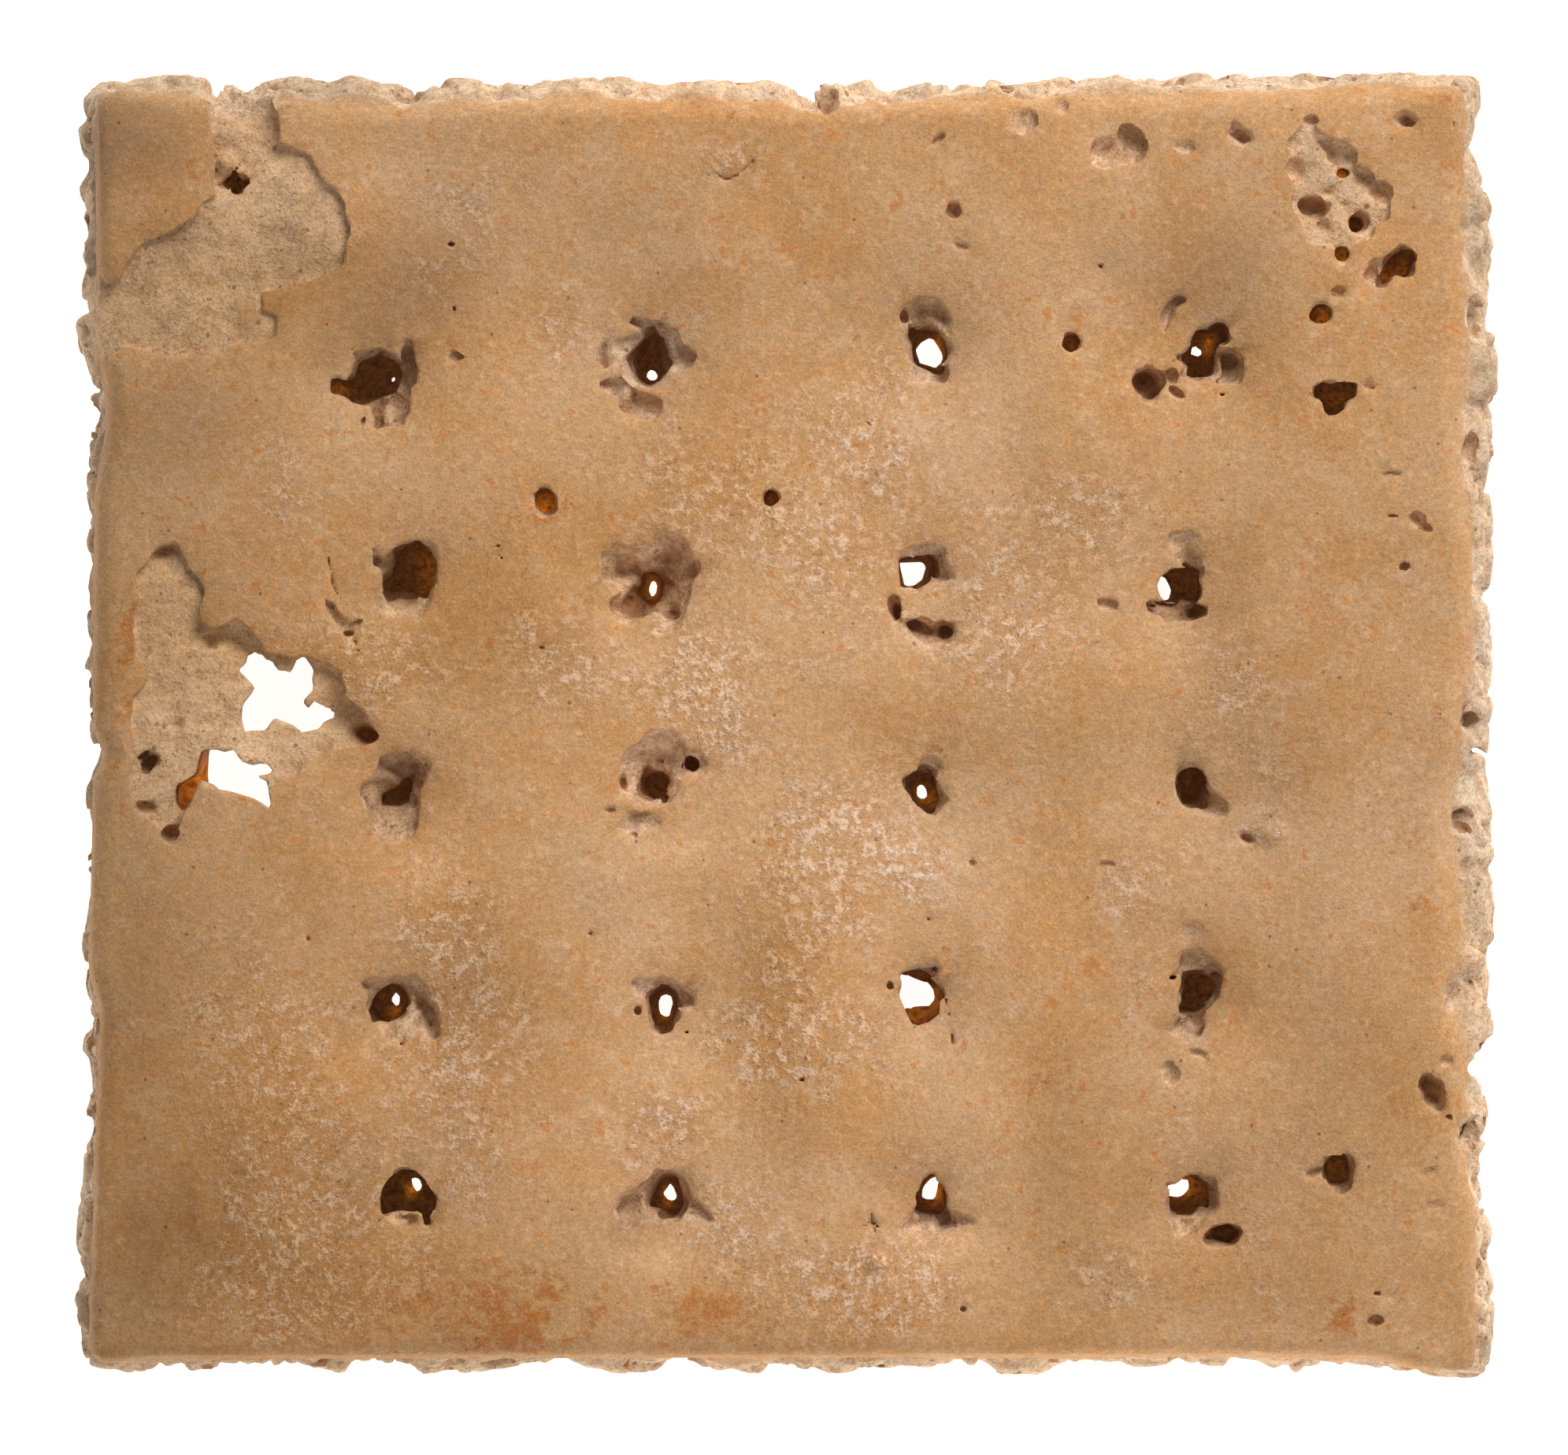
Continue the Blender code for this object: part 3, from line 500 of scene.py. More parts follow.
# %% Pin holes: wells as (depth, slope, rim), necks as rims, and small cups
WELLS = (
    # first row
    (4.2, 0.08, ((-23.75, 20.3), (-23.4, 20.65), (-22.4, 20.75), (-21.6, 20.5), (-21.2, 20.1),
        (-21.1, 19.5), (-21, 18.9), (-21.2, 18.3), (-21.8, 18.1), (-22.6, 17.85), (-23.3, 17.75),
        (-23.9, 17.9), (-24.3, 18.25), (-25.1, 18.3), (-25.3, 18.6), (-25.1, 19.3), (-24.7, 19.45),
        (-24.2, 19.2), (-23.9, 19.6))),
    (1.8, 0.1, ((-21.2, 20.2), (-21.05, 21), (-20.8, 21.4), (-20.6, 20.7), (-20.5, 19.8), (-20.6, 18.9),
        (-20.65, 18), (-20.8, 17.3), (-21.3, 16.8), (-22, 16.7), (-22.5, 16.3), (-22.9, 16.4),
        (-22.8, 17), (-23, 17.5), (-22.8, 18.1), (-22, 18.5), (-21.6, 19), (-21.7, 19.6))),
    (0.75, 0.1, ((-10.25, 20.9), (-10.3, 20.3), (-10, 20), (-9.6, 20.2), (-9, 20.3), (-8.6, 19.5),
        (-8.2, 19), (-7.5, 18.9), (-6.7, 19.2), (-6.2, 19.7), (-5.5, 19.9), (-5, 20.3), (-4.85, 20.5),
        (-5.3, 20.9), (-5.9, 21.3), (-6.2, 21.9), (-6.8, 22.5), (-7.8, 22.6), (-8.4, 22.7), (-8.7, 22.4),
        (-8.2, 22), (-8.8, 21.6), (-9.6, 21.7), (-10, 21.5))),
    (7.5, 0.15, ((-9, 20.5), (-8.6, 19.8), (-8.1, 19.1), (-7.4, 18.8), (-6.8, 19.2), (-6.3, 20),
        (-6.4, 21), (-6.6, 21.8), (-7.1, 22.1), (-7.8, 22), (-8.3, 21.3))),
    (1, 0.1, ((-10, 18.9), (-9.6, 18.4), (-9.1, 17.6), (-8.6, 17.2), (-7.8, 17.05), (-7.1, 17.2),
        (-6.8, 17.7), (-6.9, 18.1), (-7.5, 18.4), (-8.2, 18.6), (-8.9, 18.9), (-9.3, 19.2), (-9.6, 19.2))),
    (7.5, 0.1, ((6.6, 21.5), (6.9, 22.2), (7.4, 22.45), (8, 22.5), (8.6, 22.1), (8.95, 21.4), (9.2, 20.9),
        (9, 20.2), (8.6, 19.9), (8, 19.8), (7.3, 19.8), (7, 20.2), (6.9, 20.8))),
    (1.5, 0.3, ((7, 20.1), (7, 19.6), (7.6, 19), (8.1, 19.2), (8.8, 19.1), (9.3, 19.6), (9.1, 20.2))),
    (0.8, 0.4, ((6.4, 22.7), (6.5, 23.1), (7, 23.3), (7.6, 23.7), (8.4, 23.65), (8.7, 23.3), (9.3, 22.6),
        (9.2, 21.5), (8.9, 22), (8, 22.4), (7, 22.2))),
    (7, 0.1, ((22, 20.7), (21.7, 20.9), (21.8, 20.4), (22.1, 20), (22, 19.4), (22.4, 19.1), (23, 19),
        (23.6, 19.2), (24.1, 19.6), (24.2, 20.3), (24, 20.7), (24, 21.2), (24.6, 21.5), (24.4, 22.1),
        (24, 22.3), (23.4, 22), (22.8, 21.9), (22.6, 21.2))),
    (1.5, 0.1, ((24, 20.9), (24.9, 20.8), (25.3, 20.3), (25.35, 19.3), (24.8, 18.9), (24, 18.95),
        (23.5, 19.1), (24.1, 19.6))),
    (2.3, 0.12, ((19.2, 19.3), (19.5, 19.8), (20.2, 19.95), (20.8, 19.6), (20.9, 19.1), (20.7, 18.6),
        (20.4, 18.2), (20, 18.1), (19.6, 18.4), (19.3, 18.9))),
    (0.5, 0.1, ((20.9, 21.8), (20.8, 22.3), (20.8, 23), (21.1, 23.6), (21.6, 24), (22.1, 24),
        (22.2, 23.6), (21.8, 23.2), (21.5, 22.8), (21.35, 22.3), (21.2, 21.8))),
    # second row
    (0.8, 0.4, ((-22.7, 9.9), (-22.5, 9.6), (-22.2, 9.4), (-21.8, 9.9), (-21.4, 10.2), (-20.2, 10.4),
        (-19.6, 10.1), (-19.2, 9.2), (-19.3, 8.5), (-19.25, 7.9), (-19.6, 7.2), (-19.8, 6.6),
        (-20.2, 6.2), (-21, 6.1), (-21.5, 5.9), (-22.2, 5.95), (-22.6, 6.4), (-22.8, 6.8), (-22.5, 7.4),
        (-22.2, 7.7), (-22.1, 8.3), (-22.4, 8.8), (-22.9, 8.9))),
    (5.2, 0.04, ((-22.1, 8.2), (-21.9, 8.4), (-21.8, 9.3), (-21.7, 9.9), (-21.2, 10.2), (-20.2, 10.4),
        (-19.6, 10), (-19.4, 9.2), (-19.5, 7.9), (-19.7, 7.2), (-20.9, 7.2), (-21.3, 7.3), (-22, 7.1),
        (-22.2, 7.6))),
    (8.2, 0.02, ((-20.1, 10.2), (-19.6, 10), (-19.2, 9.2), (-19.3, 7.9), (-19.7, 7.3), (-20.1, 7.7),
        (-20, 8.9))),
    (7, 0.05, ((-22.2, 7.6), (-22.1, 8.2), (-21.5, 8.2), (-21.1, 7.8), (-21.3, 7.3), (-22, 7.1))),
    (0.75, 0.12, ((-10.2, 8), (-10.15, 9), (-9.9, 9.6), (-9.4, 9.95), (-8.5, 10), (-7.6, 10),
        (-7.2, 10.7), (-6.9, 10.9), (-6.2, 10.8), (-5.5, 10.4), (-5.2, 9.8), (-5.1, 9.3), (-4.6, 9.2),
        (-4.6, 8.6), (-5.1, 8), (-5.2, 7.2), (-5.3, 6.6), (-5.6, 5.9), (-6.1, 5.3), (-6.9, 5.1),
        (-7.4, 5.3), (-7.2, 5.8), (-7.8, 6.1), (-8.6, 5.9), (-9.2, 6.1), (-9.5, 6.7), (-9.3, 7.2),
        (-9, 7.5), (-9.6, 7.7)), 0.8),
    (2, 0.3, ((-9.4, 6.7), (-9.1, 7.4), (-8.6, 8.2), (-7.8, 8.7), (-7, 8.9), (-6.3, 8.4), (-6, 7.6),
        (-6.4, 6.8), (-7.2, 6.2), (-8, 5.95), (-8.8, 5.95), (-9.2, 6.2))),
    (7.5, 0.14, ((-8.2, 7.5), (-7.7, 8.4), (-7.2, 8.7), (-6.7, 8.3), (-6.5, 7.6), (-6.9, 6.9),
        (-7.6, 6.7))),
    (6, 0.03, ((6.4, 9.3), (7.8, 9.35), (8.1, 9), (8, 8.2), (7.3, 7.7), (6.6, 7.8), (6.4, 8.6))),
    (0.6, 0.5, ((6.4, 9.2), (6.3, 9.7), (7, 9.9), (8, 10), (8.7, 9.9), (8.8, 9.2), (9.4, 8.2), (8.8, 7.9),
        (8, 8), (7.8, 9.2))),
    (0.9, 0.05, ((5.9, 7), (6.1, 7.1), (6.2, 6.4), (6.5, 6.1), (7, 6), (7.6, 6.1), (8, 5.9), (8.2, 5.6),
        (8.8, 5.8), (9.2, 5.7), (9.45, 5.3), (9.1, 4.7), (8.5, 4.4), (7.9, 4.3), (7.1, 4.5), (6.5, 4.9),
        (6.2, 5.4), (6, 5.9), (6, 6.3))),
    (6.5, 0.04, ((21.3, 8.7), (21.8, 8.9), (22.6, 8.8), (23, 8.7), (23.05, 7.9), (23, 7.1), (22.6, 6.9),
        (21.6, 6.9), (21, 7.1), (20.8, 7.7), (20.9, 8.3))),
    (1.8, 0.15, ((20, 7), (20.6, 6.95), (21.4, 7), (22.7, 7), (23.2, 6.8), (23.45, 6.6), (23.3, 6.2),
        (22.9, 5.95), (22, 5.9), (21, 5.75), (20.8, 6), (20.2, 6.2), (20, 6.4))),
    (0.4, 0.2, ((21.4, 10.7), (22, 10.8), (22.4, 10.9), (22.9, 10.6), (22.9, 9.9), (22.8, 9), (22, 8.9),
        (21.6, 9.4), (21.3, 9.9))),
    # third row
    (1.1, 0.08, ((-22.3, -1.7), (-21.6, -1.4), (-20.9, -1.3), (-20.3, -1.8), (-19.8, -2.1), (-19.7, -2.6),
        (-19.9, -3.1), (-20.2, -3.9), (-20.1, -4.8), (-20.2, -5.4), (-20.7, -6), (-21.5, -6.4),
        (-22.3, -6.1), (-22.8, -5.4), (-23, -4.9), (-23.05, -4.2), (-23.3, -3.6), (-23.1, -3.2),
        (-22.6, -2.9), (-22.4, -2.3))),
    (2.9, 0.25, ((-23, -3.5), (-22.9, -3.1), (-22.2, -2.9), (-21.3, -2.6), (-20.6, -2), (-20.1, -2.1),
        (-19.9, -2.9), (-20.2, -3.9), (-20.4, -4.6), (-21.2, -5), (-22.4, -5), (-23, -4.7))),
    (0.9, 0.2, ((-9, -1.8), (-8.5, -1.2), (-8, -0.8), (-7.5, -0.3), (-6.9, -0.2), (-6.1, -0.5),
        (-5.4, -1), (-4.9, -1.5), (-4.45, -2.1), (-4.7, -2.5), (-5.3, -2.6), (-5.9, -3), (-6.1, -3.6),
        (-6.2, -4.2), (-6.9, -4.4), (-7.5, -4.5), (-8.2, -4.3), (-8.6, -3.9), (-9, -3.7), (-9.2, -3.2),
        (-9, -2.5))),
    (6, 0.17, ((-8.2, -2.6), (-7.6, -2.1), (-6.5, -2.2), (-6.1, -3), (-6.3, -3.9), (-7.2, -4.4),
        (-8.2, -4.2), (-8.6, -3.5))),
    (0.45, 0.4, ((-9.3, -4.6), (-8.9, -4.9), (-9.1, -5.6), (-8.4, -6.1), (-7.6, -5.9), (-6.8, -5.3),
        (-7, -4.7), (-8, -4.6))),
    (7.5, 0.13, ((6.7, -2.8), (7.1, -2.4), (7.7, -2.15), (8.2, -2.4), (8.5, -2.9), (8.8, -3.5),
        (9.05, -4), (8.7, -4.3), (8.3, -4.9), (7.8, -4.7), (7.3, -4.4), (6.9, -3.9), (6.6, -3.4))),
    (0.7, 0.5, ((7.2, -2.3), (7.6, -1.9), (8.2, -1.8), (8.6, -2.2), (8.6, -2.8), (8, -2.6))),
    (4.8, 0.12, ((21.6, -2.5), (22, -2.1), (22.8, -2.1), (23.3, -2.5), (23.5, -3.2), (23.55, -3.8),
        (23.3, -4.4), (22.6, -4.5), (22, -4.4), (21.7, -3.8), (21.6, -3.1))),
    (0.9, 0.4, ((21.6, -2.6), (21.7, -2), (22.2, -1.8), (22.9, -1.9), (23.3, -2.5))),
    (1.1, 0.3, ((23.3, -3.6), (23.9, -3.6), (24.3, -4.1), (24.35, -4.8), (23.9, -5.1), (23.3, -4.9),
        (22.8, -4.6))),
    # fourth row
    (0.9, 0.2, ((-23.2, -14.2), (-22.7, -14), (-21.9, -14), (-21.3, -13.8), (-20.6, -13.9),
        (-20.1, -14.4), (-19.8, -15), (-19.3, -15.6), (-19.1, -16.4), (-18.9, -17), (-19.2, -17.5),
        (-19.8, -17.4), (-20, -17), (-20.6, -17.2), (-21.1, -17.7), (-22, -17.3), (-22.5, -16.7),
        (-22.9, -16.2), (-23.1, -15.5), (-23, -14.8))),
    (7.5, 0.13, ((-23, -15), (-22.6, -14.4), (-21.8, -14.2), (-21.1, -14.5), (-20.8, -15.3),
        (-21.1, -16.2), (-21.9, -16.6), (-22.7, -16.3), (-23.1, -15.7))),
    (1.3, 0.3, ((-20.6, -14.3), (-19.9, -14.9), (-19.3, -15.7), (-19.1, -16.5), (-18.9, -17.1),
        (-19.4, -17.4), (-19.9, -16.6), (-20.4, -15.6))),
    (7.5, 0.09, ((-7.6, -14.9), (-7.2, -14.5), (-6.6, -14.4), (-6.1, -14.8), (-5.85, -15.4),
        (-5.9, -16.2), (-6.1, -16.9), (-6.8, -17.15), (-7.4, -16.8), (-7.65, -16))),
    (0.9, 0.3, ((-8.4, -14.8), (-8.3, -14.1), (-7.4, -14), (-6.8, -13.9), (-6, -14.2), (-5.2, -14.5),
        (-4.9, -14.9), (-4.75, -15.6), (-5.8, -15.7), (-6.2, -14.9), (-7.2, -14.6), (-7.7, -15))),
    (7, 0.02, ((6.3, -14.9), (6.5, -14), (7, -13.5), (8, -13.6), (8.5, -14.2), (8.7, -15), (8.6, -15.8),
        (8, -16.3), (7.5, -16.6), (7, -16.5), (6.7, -15.8))),
    (1.3, 0.2, ((6.5, -13.9), (6.9, -13.3), (7.5, -13), (8.3, -13), (8.65, -13.4), (8.5, -14))),
    (7, 0.03, ((21.9, -14.2), (22.1, -13.5), (22.8, -13.3), (23.7, -13.5), (24.2, -14), (24.1, -14.9),
        (23.5, -15.5), (23.2, -16.1), (22.7, -16.2), (22.1, -16), (21.8, -15.8), (22, -15.1))),
    (0.9, 0.15, ((21.7, -13.9), (21.8, -13.1), (22.3, -12.6), (22.9, -12.45), (23.7, -12.8),
        (24.35, -13.3), (24.4, -14), (24.1, -14.7), (23.5, -13.7), (22.6, -13.5))),
    (1, 0.2, ((21.3, -16.6), (21.6, -16.1), (22.1, -15.8), (23.2, -15.9), (23.35, -16.6), (23, -17.15),
        (22.4, -17.4), (21.8, -17.2), (21.1, -16.9), (20.5, -16.95), (20.3, -16.6))),
    # fifth row
    (7, -0.1, ((-22.4, -26.2), (-22.3, -25.5), (-21.9, -24.9), (-21.2, -24.5), (-20.5, -24.7),
        (-19.9, -25.1), (-19.4, -25.6), (-19.1, -26.1), (-19.3, -26.6), (-19.65, -27), (-19.65, -27.4),
        (-19.85, -27.5), (-20, -27), (-20.2, -26.8), (-20.9, -26.8), (-21.6, -26.9), (-22.3, -27.1))),
    (7.5, 0.13, ((-7.4, -25.1), (-6.9, -24.6), (-6.3, -24.4), (-5.9, -24.8), (-5.5, -25.5), (-5.1, -26.1),
        (-5.3, -26.8), (-5.8, -27.3), (-6.8, -27.3), (-7.7, -26.8), (-8, -26.2), (-7.7, -25.6))),
    (1.3, 0.4, ((-9.4, -26.6), (-8.9, -26), (-8.2, -25.7), (-7.7, -25.3), (-7.5, -27.2), (-8.3, -27.7),
        (-9, -27.8))),
    (1, 0.4, ((-5.2, -26), (-4.4, -26.5), (-4, -26.8), (-3.7, -27.5), (-4.4, -27.6), (-5.4, -27.4),
        (-5.6, -26.9))),
    (6.5, 0.06, ((7.55, -25.7), (7.8, -25.1), (8.3, -24.9), (8.9, -25.4), (9, -26.2), (9.2, -27),
        (8.7, -27.2), (7.9, -26.9), (7.4, -26.8), (7.5, -26.3))),
    (0.5, 0.5, ((7.4, -26.5), (6.5, -27.9), (7.5, -28.2), (9.3, -28), (10.5, -27.4), (10, -27),
        (9.2, -26.7))),
    (6.5, 0.06, ((21.4, -25.4), (22, -25), (22.2, -24.8), (23, -24.9), (23.7, -25), (23.9, -25.6),
        (23.9, -26.4), (23.8, -26.8), (23.2, -26.9), (22.8, -27.2), (21.9, -27.2), (21.4, -27.1),
        (21.3, -26.3))),
    (0.8, 0.35, ((21.3, -26.8), (22.8, -27), (23.3, -26.9), (23.1, -27.6), (22.5, -28.3), (21.6, -28.1))),
    (3.2, 0.06, ((23.1, -28.5), (23.3, -28.1), (23.9, -27.7), (24.6, -27.45), (25.2, -27.6),
        (25.45, -27.9), (25.2, -28.4), (24.8, -28.7), (23.9, -28.7))),
)
THROATS = (
    ((-22.05, 19.3), (-21.95, 19.25), (-21.8, 19.45), (-21.75, 19.65), (-21.95, 19.5)),
    ((-7.65, 19.55), (-7.45, 19.45), (-7.2, 19.5), (-7.05, 19.65), (-7.2, 19.9), (-7.4, 20),
     (-7.65, 19.85)),
    ((7.65, 20.5), (8, 20.35), (8.5, 20.15), (8.6, 20.8), (8.5, 21.3), (8.3, 21.55), (7.9, 21.35),
     (7.6, 20.95)),
    ((22.75, 20.9), (23.15, 20.85), (23.4, 21), (23.2, 21.25), (22.9, 21.5), (22.8, 21.2)),
    ((-7.55, 7.7), (-7.35, 7.4), (-7.15, 7.6), (-7.1, 8), (-7.25, 8.25), (-7.45, 8.2)),
    ((6.5, 9.2), (7.7, 9.25), (7.9, 9), (7.75, 8.3), (7.2, 7.9), (6.7, 7.9), (6.6, 8.6)),
    ((20.95, 8.5), (21.3, 8.3), (21.6, 7.8), (21.6, 7.5), (21.5, 7.1), (20.9, 7.2), (20.8, 7.6),
     (20.85, 8.2)),
    ((7.45, -3.4), (7.65, -3.2), (7.85, -3.3), (7.9, -3.7), (7.75, -3.95), (7.5, -3.8)),
    ((-21.9, -15.2), (-21.7, -14.8), (-21.5, -15.1), (-21.55, -15.6), (-21.75, -15.65)),
    ((-6.9, -15.4), (-6.6, -15.05), (-6.35, -15.1), (-6.35, -15.6), (-6.5, -15.95), (-6.8, -15.9)),
    ((6.5, -13.95), (6.3, -14.6), (6.35, -15.2), (6.7, -15.85), (6.95, -15.6), (7.3, -15.45),
     (8.1, -15.55), (8.35, -15.2), (8.3, -14.8), (8, -14.35), (7.4, -14.15), (7, -14.1)),
    ((-20.85, -25.3), (-20.6, -25.2), (-20.35, -25.4), (-20.35, -25.8), (-20.5, -25.95), (-20.7, -25.6)),
    ((-6.45, -25.4), (-6.3, -25.5), (-6.1, -25.9), (-6.05, -26.3), (-6.2, -26.5), (-6.4, -26.4),
     (-6.35, -25.9)),
    ((8.55, -25.1), (8.7, -25.3), (8.45, -25.6), (8.35, -26), (8.3, -26.3), (7.8, -26.3), (7.8, -25.9),
     (8.1, -25.4)),
    ((21.5, -25.6), (22, -25.3), (22.4, -25.35), (22.4, -25.7), (22.1, -26), (21.6, -26.05),
     (21.45, -25.8)),
)
SMALL_CUPS = (  # x, y, half widths, turn, depth[, wall]
    (-23.6, 20.6, 0.3, 0.3, 0, 0.7), (-23.3, 16.9, 0.18, 0.45, -20, 0.6), (-10.1, 20.5, 0.2, 0.45, 0, 1),
    (6.6, 22.7, 0.25, 0.4, 0, 1.6), (21.55, 19.5, 0.35, 0.35, 0, 1), (21.7, 18.55, 0.42, 0.2, -35, 0.7),
    (24.25, 18.4, 0.2, 0.13, 0, 1), (24.1, 22, 0.45, 0.4, 0, 2.6), (-20.6, 9.5, 0.9, 0.35, -20, 5.6),
    (-6.1, 6.3, 0.45, 0.4, 0, 2.2), (-9, 6.6, 0.5, 0.4, 0, 1.7), (-5, 8.9, 0.3, 0.3, 0, 1.2),
    (-9.8, 8.4, 0.4, 0.5, 0, 0.9), (-5.7, 9.7, 0.3, 0.3, 0, 1.2), (9, 5.3, 0.4, 0.35, -15, 2.2),
    (6.3, 6.5, 0.25, 0.5, 0, 2), (7.2, 5.7, 0.8, 0.28, -8, 1.9), (8, 5.4, 0.4, 0.3, -30, 1.8),
    (20.4, 6.75, 0.4, 0.3, 0, 2.4), (23.1, 6.5, 0.4, 0.3, 0, 2.4), (-5.1, -2, 0.5, 0.45, -20, 2.8),
    (-8.9, -3.1, 0.25, 0.5, 0, 1.6), (-8.3, -6, 0.25, 0.2, 0, 0.9), (-9.6, -4.6, 0.3, 0.2, 0, 0.5),
    (-7.15, -3.2, 0.12, 0.5, 0, 7), (-23, -14.3, 0.3, 0.2, 0, 0.9), (-21.2, -17.55, 0.2, 0.2, 0, 1),
    (-8.1, -15.7, 0.3, 0.35, 0, 1), (-5.4, -16.9, 0.2, 0.15, 0, 0.7), (5.85, -14.3, 0.25, 0.35, 0, 1.2),
    (8.35, -13.4, 0.22, 0.25, 0, 1.8), (21.5, -13.85, 0.3, 0.22, 0, 1),
    (22.95, -18.1, 0.6, 0.32, -8, 0.4, 3), (21.35, -19.2, 0.55, 0.6, 0, 0.55, 3),
    (22.5, -11.3, 0.6, 0.45, 0, 0.25, 3), (-21.2, -27.2, 1.1, 0.5, 0, 1.3, 1.5),
    (-7.3, -25, 0.25, 0.18, 30, 1.2),
)
BLIND_EXITS = ((-20.8, 8.4), (-21.5, -3.6), (-7.3, -3.2), (22.5, -3.3), (23.1, -14.6))
BLIND_EXIT_SHAPE = (0.2, 0.8, 0.8, 1.7)

for numbers in WELLS:
    well(*numbers)
for corners in THROATS:
    throat(corners)
for numbers in SMALL_CUPS:
    cup(*numbers)
for px, py in BLIND_EXITS:
    ball(px, py, *BLIND_EXIT_SHAPE)
print(len(WELLS), "wells and shelves,", len(THROATS), "ways through")

# %% [markdown]
# Away from the pins, gas bubbles burst through the crust or left it thin enough to fall in: the
# sponge of them near the back right corner, four round worm-like holes, and small pits. The
# crust has also cracked in a few places, and some pits have corners where a scale of it broke.

# %% Pits as cups, bubbles as balls, cracks and cornered pits
PITS = (
    (-18.2, 20.5, 0.4, 0.3, 0, 0.45, 3), (-18.2, 23.15, 0.15, 0.22, 0, 0.5),
    (17.9, 6.8, 0.6, 0.32, -15, 0.7, 3), (30.65, -24.6, 0.76, 0.98, 0, 7, 9),
    (29.5, -24.65, 0.6, 0.35, 0, 0.6, 2), (36.05, -20.5, 0.65, 1.15, 25, 1.8, 4),
    (37.8, -22.7, 0.6, 1.1, 10, 1.9, 4), (35.5, -19.5, 0.3, 0.12, -40, 0.6),
    (35.6, -24.6, 0.5, 0.15, 25, 0.25, 3), (35.9, -26.5, 0.4, 0.2, 10, 0.25, 3),
    (36.6, -18.5, 0.35, 0.3, 0, 0.4, 3), (37.8, -18.5, 0.3, 0.3, 0, 0.8),
    (32.8, -31.3, 0.35, 0.15, 0, 0.6), (32.7, -32.8, 0.5, 0.3, 15, 0.7), (25.6, -6.1, 0.5, 0.3, -15, 0.9),
    (10.4, -7.5, 0.25, 0.22, 0, 0.5), (17.8, -7.6, 0.5, 0.25, 0, 0.4, 3), (34.3, 8.9, 0.4, 0.3, 0, 0.8),
    (34.9, 11.5, 0.55, 0.35, -20, 0.9), (33.6, 11.7, 0.4, 0.12, -10, 0.5),
    (35.3, 11.1, 0.5, 0.25, -20, 0.7), (33.5, 14, 0.5, 0.18, 0, 0.4), (19.2, 32.5, 0.95, 0.95, 0, 1.4, 3),
    (18, 31.8, 0.95, 0.75, 20, 1.1, 3), (18.9, 31.6, 1.2, 0.5, 0, 1, 3),
    (22.1, 32.05, 0.6, 0.35, -10, 0.35, 3), (13.1, 33.4, 0.75, 0.6, 20, 0.5, 4),
    (15.35, 34.4, 0.35, 0.4, 0, 0.9), (14.6, 34.7, 0.5, 0.2, 10, 0.4), (8.5, 32.5, 0.4, 0.15, 40, 0.5),
    (9.4, 28.6, 0.42, 0.4, 0, 0.9, 4), (9.8, 26.6, 0.35, 0.15, -20, 0.3),
    (4.6, 16.85, 0.14, 0.14, 0, 0.5), (-15.85, 10, 0.15, 0.15, 0, 0.5), (-15.65, 9.4, 0.13, 0.13, 0, 0.5),
    (-13.4, 4.4, 0.17, 0.15, 0, 0.5), (-26.3, -11.7, 0.14, 0.14, 0, 0.5),
    (-10.7, -11.4, 0.14, 0.14, 0, 0.5), (-18.4, 26.7, 0.2, 0.17, 0, 0.6), (8, -10.6, 0.15, 0.13, 0, 0.5),
    (9.9, -32.2, 0.2, 0.17, 0, 0.6), (17.5, 25.5, 0.17, 0.15, 0, 0.5), (37, 33.3, 0.1, 0.2, 0, 0.5),
    (1, -19.5, 0.18, 0.15, 0, 0.8),
    # the sponge
    (28.3, 30.85, 0.45, 0.55, 0, 1.1, 3), (29.3, 30.9, 0.7, 0.38, -10, 0.8, 3),
    (30.9, 31.5, 0.8, 0.7, 0, 1.2, 3), (30.95, 30.7, 0.42, 0.32, 0, 4.2),
    (31.9, 30.5, 0.6, 0.5, -30, 1, 3), (32.95, 29.5, 0.55, 0.6, 0, 1, 3),
    (29.1, 28.8, 0.95, 0.6, -10, 2, 6), (30.2, 29.6, 0.65, 0.45, 0, 0.9, 3),
    (31.7, 27.85, 0.5, 0.65, -20, 3, 6), (29.9, 32.3, 0.5, 0.3, -40, 1, 3),
    (28.5, 32.3, 0.45, 0.35, 0, 0.7, 3), (30.9, 28.9, 0.35, 0.3, 0, 0.7, 3),
    (30.85, 26.2, 0.62, 0.64, 0, 4.5, 7), (29.6, 27.7, 0.5, 0.35, 0, 0.8, 3),
    (29.2, 33.55, 0.4, 0.25, 0, 0.7), (29.75, 22.8, 0.62, 0.62, 0, 5.5, 8),
    (30.7, 24.1, 0.45, 0.4, 0, 0.6, 3), (-0.7, 12.6, 0.42, 0.5, -25, 6.5, 6),
    (15.9, 21.3, 0.52, 0.5, 0, 8, 8), (-13.2, 12.5, 0.72, 0.78, 0, 9, 9), (-24.1, 5.2, 0.4, 0.2, 0, 1.2),
)
BUBBLES = (
    (36.9, -21.6, 9.6, 1, 1.4, 1.3), (33.8, 26.6, 9, 1.3, 1, 1.1), (31.5, 27.2, 8.8, 1.5, 1.2, 1.2),
    (30.9, 18.6, 8.4, 1.5, 1, 1.4), (-19.8, 9, 7, 1.3, 1.8, 2.6), (23.6, -14.2, 6.5, 1.3, 1.6, 2.6),
)
